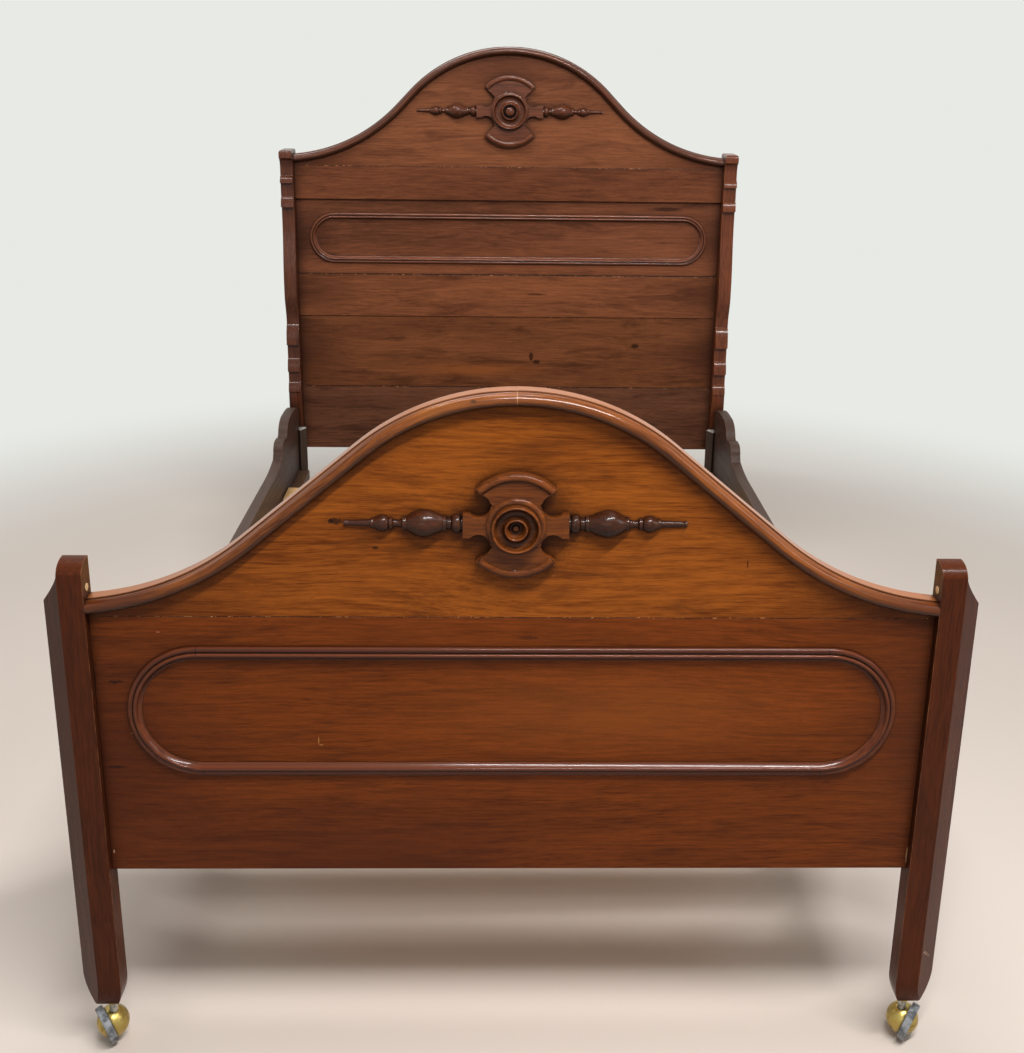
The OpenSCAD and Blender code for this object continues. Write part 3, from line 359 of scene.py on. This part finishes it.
# A merged copy of a node with eased edges and smooth curves; edges are bends of more than the angle
def easedCopy(node, edge, steps=2, angle=30):
    piece = bpy.data.objects.new(pieceName(node), nodes[node].data.copy())
    bpy.context.scene.collection.objects.link(piece)
    pickOnly(piece)
    bpy.ops.object.mode_set(mode="EDIT")
    bpy.ops.mesh.select_all(action="SELECT")
    bpy.ops.mesh.customdata_custom_splitnormals_clear()
    bpy.ops.mesh.remove_doubles(threshold=copyLimits["merge"])
    bpy.ops.mesh.dissolve_limited(angle_limit=radians(copyLimits["flat"]))
    bpy.ops.object.mode_set(mode="OBJECT")
    bpy.ops.object.shade_smooth_by_angle(angle=radians(angle))
    if edge:
        easing = piece.modifiers.new("easedEdges", "BEVEL")
        easing.width, easing.segments = edge, steps
        easing.limit_method, easing.angle_limit = "ANGLE", radians(angle)
        easing.miter_outer = "MITER_ARC"
        bpy.ops.object.modifier_apply(modifier=easing.name)
        bpy.ops.object.shade_smooth_by_angle(angle=radians(copyLimits["smooth"]))
        weighted = piece.modifiers.new("flatFaces", "WEIGHTED_NORMAL")
        weighted.keep_sharp = True
        bpy.ops.object.modifier_apply(modifier=weighted.name)
    return piece


def dress(piece, node, material):
    piece.data.materials.clear()
    piece.data.materials.append(material)
    for face in piece.data.polygons:
        face.material_index = 0
    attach(piece, nodes[node]["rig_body"])
    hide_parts(node)


def dressInWood(piece, node, looks):
    dress(piece, node, woodFinish(pieceName(node) + "Finish", looks))


# Boards; a seam is its height, half its width and the colour of its chips
footSeam = (0.754, 0.0005, "#d49a63")  # where the foot boards meet
# The wide soft marks on the boards are painted shade: darker towards the posts, under the crests, along the step at the
# foot of the head frieze and towards the lower left of the foot; the pale ones are painted light
boardLooks = {
    "foot_arch_board": {
        "light": "#965117", "dark": "#5c2a06", "patch": "#3c1a07", "slide": (0.3, 0.1, 0.0),
        "zones": 0.8, "figure": 0.25, "streaks": 0.8, "patches": 0.5, "pores": 0.5, "seam": footSeam,
        "marks": [
            paintedShade((-0.62, -0.98, 0.76), (0.34, 0.1, 0.16), "#4a2009", 0.75),
            paintedShade((0.62, -0.98, 0.76), (0.34, 0.1, 0.14), "#4a2009", 0.75),
            paintedShade((-0.33, -0.98, 1.01), (0.26, 0.1, 0.07), "#4d2309", 0.5),
            paintedShade((0.40, -0.98, 0.99), (0.24, 0.1, 0.08), "#4d2309", 0.6),
            mark((-0.256, -0.9845, 0.902), (0.013, 0.02, 0.006), "#241005", ragged=1.2),
            mark((-0.262, -0.9845, 0.903), (0.005, 0.02, 0.0025), "#120702"),
            mark((-0.200, -0.9845, 0.862), (0.006, 0.02, 0.003), "#241005"),
            mark((0.334, -0.9845, 0.839), (0.0013, 0.02, 0.008), "#241005"),
            # Two soft dark marks round the ornament: painted shade
            mark((0.0, -0.9845, 0.893), (0.27, 0.012, 0.035), "#2e1306", 0.65, 0.6, 0.9),
            mark((0.0, -0.9845, 0.895), (0.115, 0.012, 0.11), "#2e1306", 0.6, 0.5, 0.6)]},
    "foot_lower_board": {
        "light": "#78390f", "dark": "#4d2106", "patch": "#351506", "slide": (1.7, 0.4, 0.3),
        "zones": 0.7, "figure": 0.2, "streaks": 0.8, "patches": 0.45, "pores": 0.45, "seam": footSeam,
        "marks": [
            paintedShade((-0.66, -0.98, 0.50), (0.34, 0.1, 0.34), "#3d180b", 0.75, 0.4),
            paintedShade((-0.25, -0.98, 0.31), (0.55, 0.1, 0.20), "#451d0d", 0.7, 0.4),
            paintedShade((0.66, -0.98, 0.60), (0.24, 0.1, 0.36), "#45200f", 0.7, 0.4),
            paintedShade((0.15, -0.98, 0.60), (0.40, 0.1, 0.10), "#8a4b1c", 0.4, 0.6),
            mark((-0.586, -0.9845, 0.648), (0.0045, 0.02, 0.003), "#150804"),
            mark((-0.583, -0.9845, 0.649), (0.016, 0.02, 0.003), "#2a1207", ragged=1.2),
            mark((-0.591, -0.9845, 0.507), (0.0035, 0.02, 0.0025), "#150804"),
            mark((-0.594, -0.9845, 0.507), (0.018, 0.02, 0.0025), "#2a1207", ragged=1.2),
            mark((-0.2910, -0.9845, 0.5520), (0.0007, 0.02, 0.008), "#c08a4a", 0.7, 0.1),
            mark((-0.2875, -0.9845, 0.5445), (0.004, 0.02, 0.0008), "#c08a4a", 0.6, 0.1),
            mark((-0.517, -0.9845, 0.729), (0.004, 0.02, 0.0012), "#a9684a", 0.6),
            mark((-0.568, -0.9845, 0.564), (0.003, 0.02, 0.0015), "#8d5438", 0.6),
            mark((0.02, -0.9845, 0.722), (0.018, 0.02, 0.004), "#3a1a0b", 0.6, 1.5),
            mark((-0.610, -0.9845, 0.360), (0.0015, 0.02, 0.004), "#d8b08a", 0.7),
            mark((-0.6145, -0.9845, 0.655), (0.002, 0.02, 0.030), "#120703"),
            mark((0.6140, -0.9845, 0.352), (0.0025, 0.02, 0.016), "#c79a70", ragged=1.4)]},
    "head_arch_board": {
        "light": "#7c4a2e", "dark": "#4a2716", "patch": "#35170c", "slide": (3.1, 0.2, 0.7),
        "seam": (1.2105, 0.0002, "#7a4228"),
        "marks": [
            paintedShade((-0.60, 0.98, 1.22), (0.30, 0.1, 0.12), "#3a190d", 0.7),
            paintedShade((0.60, 0.98, 1.22), (0.30, 0.1, 0.12), "#3a190d", 0.7),
            paintedShade((0.0, 0.98, 1.50), (0.30, 0.1, 0.08), "#3a190d", 0.5),
            # A soft dark mark round the ornament: painted shade
            mark((-0.02, 0.9765, 1.375), (0.25, 0.012, 0.03), "#2c130a", 0.6, soft=0.9)]},
    "head_frieze_board": {
        "light": "#78462c", "dark": "#462414", "patch": "#32170e", "slide": (3.3, 0.2, 0.9),
        "marks": [paintedShade((0.0, 0.98, 1.125), (0.9, 0.1, 0.016), "#2a1209", 0.7)]},
    "head_recessed_panel": {
        "light": "#7a482f", "dark": "#4a2919", "patch": "#2e150d", "slide": (4.4, 1.2, 0.1),
        "marks": [
            mark((0.459, 0.9865, 1.113), (0.050, 0.02, 0.008), "#1f0e08", 0.7, 1.4),
            paintedShade((-0.62, 0.98, 1.02), (0.16, 0.1, 0.12), "#2e140b", 0.7),
            paintedShade((0.62, 0.98, 1.02), (0.14, 0.1, 0.12), "#2e140b", 0.7)]},
    "head_middle_board": {
        "light": "#7e4b2f", "dark": "#4a2818", "patch": "#2e150d", "slide": (5.2, 0.9, 0.5),
        "marks": [
            mark((0.08, 0.9805, 0.861), (0.035, 0.02, 0.004), "#2a120a", 0.7, 1.4),
            paintedShade((-0.60, 0.98, 0.86), (0.20, 0.1, 0.08), "#34170c", 0.6),
            paintedShade((0.60, 0.98, 0.86), (0.16, 0.1, 0.08), "#34170c", 0.6)]},
    "head_lower_board": {
        "light": "#77472a", "dark": "#472617", "patch": "#2a130a", "slide": (6.6, 0.3, 0.8),
        "marks": [
            mark((0.381, 0.9835, 0.706), (0.015, 0.02, 0.009), "#160a05", ragged=0.8),
            mark((0.070, 0.9835, 0.672), (0.008, 0.02, 0.016), "#1a0b05", ragged=0.9),
            mark((0.086, 0.9835, 0.655), (0.014, 0.02, 0.008), "#1a0b05", ragged=0.9),
            paintedShade((-0.10, 0.98, 0.63), (0.30, 0.1, 0.03), "#8a4d24", 0.5),
            paintedShade((-0.62, 0.98, 0.68), (0.20, 0.1, 0.16), "#30140a", 0.7),
            paintedShade((0.62, 0.98, 0.68), (0.16, 0.1, 0.16), "#30140a", 0.7)]},
    "head_bottom_board": {"light": "#6e4531", "dark": "#41261a", "patch": "#24110a", "slide": (7.1, 0.6, 0.2)}}
headBoardGrain = {"streaks": 0.55, "zones": 1.0, "patches": 0.55, "figure": 0.15}
# Each head seam's dark line is the joint and also a painted shadow under the step of the board above
headSeamAndShadow = {"below": 0.0006, "width": 0.0009, "bare": "#a06a48"}  # on the top edge of each lower board
for node, looks in boardLooks.items():
    end = node.split("_")[0]
    looks["turn"] = (90, 0, 0)
    if end == "head":
        looks.update(headBoardGrain)
        upper = max(corner[2] for corner in nodes[node].bound_box)
        looks.setdefault("seam", (upper - headSeamAndShadow["below"], headSeamAndShadow["width"], headSeamAndShadow["bare"]))
    dressInWood(easedCopy(node, edge=0.0011), node, looks)
print("stage: boards")

# Posts, with four pale nicks near the foot of the right one
nicks = ((0.657, 0.178), (0.6615, 0.1725), (0.666, 0.1665), (0.670, 0.162))
# The left head post is painted darker than the right: painted shade
postLooks = {
    "foot_post_left": {
        "light": "#56260f", "dark": "#341506", "patch": "#2a0e05", "slide": (0.2, 0.0, 0.0), "coat": 0.06},
    "foot_post_right": {
        "light": "#58270e", "dark": "#361506", "patch": "#280e06", "slide": (1.9, 0.3, 0.1), "coat": 0.06,
        "marks": [mark((x, -0.9985, z), (0.003, 0.02, 0.0022), "#d0ab92", ragged=0.8) for x, z in nicks]},
    "head_post_left": {
        "light": "#613421", "dark": "#381a0e", "patch": "#26100a", "slide": (3.5, 0.2, 0.5), "coat": 0.3},
    "head_post_right": {
        "light": "#7a4126", "dark": "#4c2413", "patch": "#26100a", "slide": (4.8, 0.7, 0.2), "coat": 0.3}}
# Posts get painted shade on their downward faces
postFinish = {"turn": (0, 90, 0), "zones": 0.45, "figure": 0.15, "streaks": 0.7, "gloss": 0.09, "rough": 0.3,
              "wear": 0.5, "wearWidth": 0.002, "coatRough": 0.13, "under": 0.35}
for node, looks in postLooks.items():
    dressInWood(easedCopy(node, edge=0.0014, steps=3), node, {**postFinish, **looks})
print("stage: posts")

# Moldings, with the grain running along each one. A crest is a round crown, a straight slope and a hollow end.
crestLines = {
    "foot": {"springZ": 0.783, "rise": 0.313, "crown": 0.350, "slope": 40, "endSlope": 5, "halfWidth": 0.615},
    "head": {"springZ": 1.261, "rise": 0.300, "crown": 0.390, "slope": 46, "endSlope": 5, "halfWidth": 0.615}}


# Length along a crest from its middle, and distance above its line
def crestSpot(x, z, line):
    steep, gentle, crown = radians(line["slope"]), radians(line["endSlope"]), line["crown"]
    top = line["springZ"] + line["rise"]
    a = line["halfWidth"] - crown * sin(steep)
    b = line["rise"] - crown * (1 - cos(steep))
    spread = cos(steep - gentle) - 1
    straight = (a * (cos(gentle) - cos(steep)) - b * (sin(steep) - sin(gentle))) / spread
    hollow = (b * cos(steep) - a * sin(steep)) / spread
    out = abs(x)
    angle = atan2(out, z - top + crown)
    if angle < steep:
        return crown * angle, hypot(out, z - top + crown) - crown
    startX, startZ = crown * sin(steep), top - crown * (1 - cos(steep))
    run = (out - startX) * cos(steep) - (z - startZ) * sin(steep)
    if run < straight:
        return crown * steep + run, (out - startX) * sin(steep) + (z - startZ) * cos(steep)
    centreX = startX + straight * cos(steep) + hollow * sin(steep)
    centreZ = startZ - straight * sin(steep) + hollow * cos(steep)
    turn = steep - atan2(centreX - out, centreZ - z)
    return crown * steep + straight + hollow * turn, hollow - hypot(centreX - out, centreZ - z)


# Length round a racetrack molding, and distance out from its middle line
def trackSpot(x, z, track):
    flat, out = track["flat"], z - track["z"]
    if abs(x) < flat:
        return x * (1 if out > 0 else -1), abs(out)
    swing = atan2(out, abs(x) - flat)
    return flat + hypot(out, abs(x) - flat) * (pi / 2 - swing), hypot(out, abs(x) - flat)


def storeGrainPath(piece, spotOf, line):
    layer = piece.data.attributes.new("grainPath", "FLOAT_VECTOR", "POINT")
    for index, vertex in enumerate(piece.data.vertices):
        along, across = spotOf(vertex.co.x, vertex.co.z, line)
        layer.data[index].vector = (along, across, vertex.co.y)


# Moldings get strong painted shade in their grooves and on their undersides
moldingLooks = {
    "patch": "#2e140b", "bare": "#b07a48", "zones": 0.45, "figure": 0.1, "streaks": 0.8, "patches": 0.3,
    "gloss": 0.1, "rough": 0.3, "coatRough": 0.12, "path": True, "wear": 0.3, "wearWidth": 0.0009,
    "reach": 0.009, "dirt": 0.95, "grime": "#160805", "waves": 0.0002, "under": 0.8}
# A crest's top colour is painted light on the strip by its top edge; its wide soft marks are painted shade by the posts
# and painted light along the nose
crestLooks = {
    "foot": {
        "light": "#864817", "dark": "#4a2106", "top": "#96592f", "coat": 0.36, "slideZ": 0.3,
        "marks": [
            mark((0.0, -0.99, 1.085), (0.0007, 0.03, 0.016), "#c8966c", 0.7, 1.0),
            mark((-0.060, -1.000, 1.083), (0.005, 0.02, 0.0025), "#180a05", ragged=0.8),
            paintedShade((-0.60, -1.000, 0.79), (0.16, 0.03, 0.06), "#431b0a", 0.8),
            paintedShade((0.60, -1.000, 0.79), (0.16, 0.03, 0.06), "#431b0a", 0.8),
            paintedShade((0.42, -1.000, 0.905), (0.07, 0.03, 0.06), "#8f5220", 0.5),
            paintedShade((-0.14, -1.000, 1.075), (0.12, 0.03, 0.03), "#94561f", 0.5)]},
    "head": {"light": "#643622", "dark": "#36180d", "top": "#7c4a30", "coat": 0.42, "slideZ": 0.8}}
crestSlides = {"left": 0.4, "right": 2.1}
for end, looks in crestLooks.items():
    for hand, slide in crestSlides.items():
        node = f"{end}_crest_molding_{hand}"
        piece = easedCopy(node, edge=0.0004, angle=34)
        storeGrainPath(piece, crestSpot, crestLines[end])
        dressInWood(piece, node, {**moldingLooks, **looks, "slide": (slide, 0.2, looks["slideZ"])})
# The foot track is jointed where its straights meet its ends
trackJoints = [mark((x, -0.99, z), (0.0009, 0.03, 0.013), "#1c0b06", ragged=0.2)
               for x in (-0.463, 0.463) for z in (0.704, 0.498)]
trackLooks = {
    "foot_panel_molding": {"flat": 0.463, "z": 0.601, "light": "#743a1c", "dark": "#42190a", "coat": 0.26,
                           "slide": (0.7, 0.5, 0.2), "marks": trackJoints},
    "head_panel_molding": {"flat": 0.505, "z": 1.022, "light": "#7a452c", "dark": "#482212", "coat": 0.45,
                           "slide": (2.7, 0.1, 0.6)}}
for node, looks in trackLooks.items():
    piece = easedCopy(node, edge=0.0003, steps=1, angle=34)
    storeGrainPath(piece, trackSpot, looks)
    dressInWood(piece, node, {**moldingLooks, **looks})
print("stage: moldings")

# Ornaments: carved plaques, turned roundels and half spindles
# Ornaments get deep painted shade in their grooves and on their undersides
ornamentLooks = {"patch": "#2a120a", "zones": 0.4, "figure": 0.1, "streaks": 0.7, "gloss": 0.1, "rough": 0.3,
                 "turn": (90, 0, 0), "reach": 0.016, "dirt": 1.0, "grime": "#150805", "wearWidth": 0.001,
                 "bare": "#a06a4c", "under": 0.75}
carvedLooks = {"foot": {"light": "#834518", "dark": "#4c2208", "coat": 0.17, "coatRough": 0.15, "wear": 0.45},
               "head": {"light": "#703c24", "dark": "#3e1c0d", "coat": 0.3, "coatRough": 0.15, "wear": 0.45}}
spindleLooks = {"foot": {"light": "#4a2411", "dark": "#271107", "coat": 0.24, "coatRough": 0.11, "wear": 0.2},
                "head": {"light": "#63341f", "dark": "#34170b", "coat": 0.24, "coatRough": 0.11, "wear": 0.2}}
carvedSlides, spindleSlides = {"plaque": 1.1, "roundel": 1.2}, {"left": 1.7, "right": 1.8}
for end in ("foot", "head"):
    for part, slide in carvedSlides.items():
        node = f"{end}_{part}"
        looks = {**ornamentLooks, **carvedLooks[end], "slide": (0.9, slide, 0.2)}
        dressInWood(easedCopy(node, edge=0.0005, angle=34), node, looks)
for end in ("foot", "head"):
    for hand, slide in spindleSlides.items():
        node = f"{end}_spindle_{hand}"
        looks = {**ornamentLooks, **spindleLooks[end], "slide": (1.4, slide, 0.6)}
        dressInWood(easedCopy(node, edge=0.0, angle=34), node, looks)
print("stage: ornaments")

# Rails, ledgers, cleats, slats and plugs; the left rail has a scratch made of short strokes
strokes = {"count": 5, "x": -0.625, "y": 0.54, "z": 0.464, "stepY": 0.012, "stepZ": 0.0062}
scratch = [mark((strokes["x"], strokes["y"] + strokes["stepY"] * step, strokes["z"] + strokes["stepZ"] * step),
                (0.004, 0.009, 0.0022), "#b8a596", 0.6, 0.4) for step in range(strokes["count"])]
# The rails' tops are painted darker, a painted shade, and the cleats' tops pale, a painted light
railShadedTop, cleatLitTop = {"top": "#45332a"}, {"top": "#b9b2aa", "topShare": 0.95}
plainLooks = {
    "side_rail_left": {"light": "#4c3429", "dark": "#2f201a", "patch": "#20140f", "slide": (0.2, 0.5, 0.1),
                       "turn": (0, 0, 90), "slot": "rail_wood", "edge": 0.0025, **railShadedTop, "marks": scratch},
    "side_rail_right": {"light": "#4c352b", "dark": "#30211b", "patch": "#20140f", "slide": (2.2, 0.1, 0.4),
                        "turn": (0, 0, 90), "slot": "rail_wood", "edge": 0.0025, **railShadedTop},
    "rail_ledger_left": {"light": "#5e4432", "dark": "#3e2b1f", "patch": "#2c1d15", "slide": (0.6, 0.5, 0.1),
                         "turn": (0, 0, 90), "slot": "pine", "edge": 0.001},
    "rail_ledger_right": {"light": "#5e4432", "dark": "#3e2b1f", "patch": "#2c1d15", "slide": (1.6, 0.3, 0.2),
                          "turn": (0, 0, 90), "slot": "pine", "edge": 0.001},
    "corner_cleat_left": {"light": "#45352b", "dark": "#2c211a", "patch": "#1f1612", "slide": (0.6, 0.5, 0.1),
                          "turn": (0, 90, 0), "slot": "cleat_wood", "edge": 0.001, **cleatLitTop},
    "corner_cleat_right": {"light": "#45352b", "dark": "#2c211a", "patch": "#1f1612", "slide": (1.1, 0.2, 0.4),
                           "turn": (0, 90, 0), "slot": "cleat_wood", "edge": 0.001, **cleatLitTop},
    "slats": {"light": "#d8b27c", "dark": "#c09360", "patch": "#9a6a3e", "slide": (0.6, 0.5, 0.1),
              "slot": "pine", "edge": 0.0012},
    "foot_post_plugs": {"light": "#e0c096", "dark": "#c79c6c", "patch": "#a97a4c", "slide": (0.6, 0.5, 0.1),
                        "slot": "plug_wood", "edge": 0.0004}}
dullFinish = {"gloss": 0.2, "rough": 0.5, "wear": 0.3}
for node, looks in plainLooks.items():
    dressInWood(easedCopy(node, looks["edge"]), node, {**dullFinish, **looks})
print("stage: rails and slats")

# Metal and the casters' treads
metalLooks = {
    "oldBrass": {
        "bright": "#b09a58", "dull": "#66572f", "grime": "#2a2012", "rough": 0.3, "clean": 0.5, "metal": 1.0},
    "dullZinc": {
        "bright": "#b4b1a9", "dull": "#74716a", "grime": "#26231f", "rough": 0.38, "clean": 0.45, "metal": 0.9},
    "blackIron": {
        "bright": "#7a726a", "dull": "#37312c", "grime": "#191512", "rough": 0.55, "clean": 0.3, "metal": 0.8},
    "greyTread": {
        "bright": "#8b8d90", "dull": "#4c4e52", "grime": "#2c2c2d", "rough": 0.6, "clean": 0.42, "metal": 0.1}}
metalShape = {"tarnishNoise": ((70, 70, 70), 5, 0.65), "tarnishFade": 0.22, "tarnishRough": 0.2,
              "pitNoise": ((240, 240, 240), 4, 0.6), "pitStrength": 0.6, "pitDepth": 0.0004,
              "dirtReach": 0.006, "dirt": 0.85, "dirtDull": 0.6, "wearWidth": 0.0012, "wear": 0.6}


def metalFinish(name):
    looks = metalLooks[name]
    material = bpy.data.materials.new(name)
    material.use_nodes = True
    tree = material.node_tree
    tree.nodes.clear()
    spot = place(tree, "TexCoord").outputs["Object"]
    clouds = stretched(tree, spot, *metalShape["tarnishNoise"])
    tarnish = span(tree, clouds, looks["clean"], looks["clean"] + metalShape["tarnishFade"])
    color = mixColor(tree, tarnish, tint(looks["bright"]), tint(looks["dull"]))
    # Hollows are darkened: grime, together with painted shade
    dirt = useGroup(tree, creviceDirtAndShadeGroup, Reach=metalShape["dirtReach"], Amount=metalShape["dirt"])["Mask"]
    color = mixColor(tree, dirt, color, tint(looks["grime"]))
    wornAndLit = useGroup(tree, wearAndEdgeLightGroup, Vector=spot, Width=metalShape["wearWidth"], Amount=metalShape["wear"])["Mask"]
    color = mixColor(tree, wornAndLit, color, tint(looks["bright"]))
    roughness = plus(tree, looks["rough"], times(tree, tarnish, metalShape["tarnishRough"]), True)
    normal = place(tree, "Bump", None, Strength=metalShape["pitStrength"], Distance=metalShape["pitDepth"],
                   Height=stretched(tree, spot, *metalShape["pitNoise"])).outputs[0]
    metallic = minus(tree, looks["metal"], times(tree, dirt, metalShape["dirtDull"]), True)
    shader = place(tree, "BsdfPrincipled", None, Base_Color=color, Roughness=roughness, Metallic=metallic,
                   Normal=normal)
    place(tree, "OutputMaterial", None, Surface=shader.outputs[0])
    return material


brass, zinc, iron, tread = [metalFinish(name) for name in metalLooks]
metalNodes = {"caster_sockets": (brass, "brass", 0.0), "rail_hooks": (iron, "iron", 0.0),
              "hook_plates": (iron, "iron", 0.0), "ledger_screws": (iron, "iron", 0.0)}
casterParts = {"frame": (zinc, "caster_metal", 0.0005), "hood": (brass, "brass", 0.0),
               "wheel": (zinc, "caster_metal", 0.0), "tread": (tread, "tread", 0.0005), "cap": (brass, "brass", 0.0)}
for corner in ("foot_left", "foot_right", "head_left", "head_right"):
    for part, choice in casterParts.items():
        metalNodes[f"{corner}_caster_{part}"] = choice
for node, (material, slot, edge) in metalNodes.items():
    dress(easedCopy(node, edge, angle=34), node, material)
print("stage: casters and iron")

# A floor that fades into the backdrop, for the camera and in reflections
ground = {"size": 30, "color": "#cfc3b9", "rough": 0.55, "gloss": 0.3, "fade": (1.6, 3.2)}
studio = {"backdrop": "#e8eae5", "backdropStrength": 1.0, "ambient": "#f2f1ee", "ambientStrength": 0.22}


# One where the camera or a reflection looks, else zero
def lookedAt(tree):
    rays = place(tree, "LightPath").outputs
    return calc(tree, "MAXIMUM", rays["Is Camera Ray"], rays["Is Glossy Ray"])


bpy.ops.mesh.primitive_plane_add(size=ground["size"], location=(0, 0, 0))
floor = bpy.context.object
floor.name = "floor"
floorFinish = bpy.data.materials.new("floorFinish")
floorFinish.use_nodes = True
tree = floorFinish.node_tree
tree.nodes.clear()
away = place(tree, "VectorMath", {"operation": "LENGTH"}, i0=place(tree, "TexCoord").outputs["Object"]).outputs["Value"]
fade = times(tree, span(tree, away, *ground["fade"]), lookedAt(tree))
near = place(tree, "BsdfPrincipled", None, Base_Color=tint(ground["color"]), Roughness=ground["rough"],
             Specular_IOR_Level=ground["gloss"]).outputs[0]
far = place(tree, "Emission", None, Color=tint(studio["backdrop"]), Strength=studio["backdropStrength"]).outputs[0]
blend = place(tree, "MixShader", None, i0=fade, i1=near, i2=far)
place(tree, "OutputMaterial", None, Surface=blend.outputs[0])
floor.data.materials.append(floorFinish)

world = bpy.data.worlds.new("studio")
bpy.context.scene.world = world
world.use_nodes = True
tree = world.node_tree
tree.nodes.clear()
light = place(tree, "Background", None, Color=tint(studio["ambient"]), Strength=studio["ambientStrength"]).outputs[0]
seen = place(tree, "Background", None, Color=tint(studio["backdrop"]), Strength=studio["backdropStrength"]).outputs[0]
blend = place(tree, "MixShader", None, i0=lookedAt(tree), i1=light, i2=seen)
place(tree, "OutputWorld", None, Surface=blend.outputs[0])

print("stage: done")
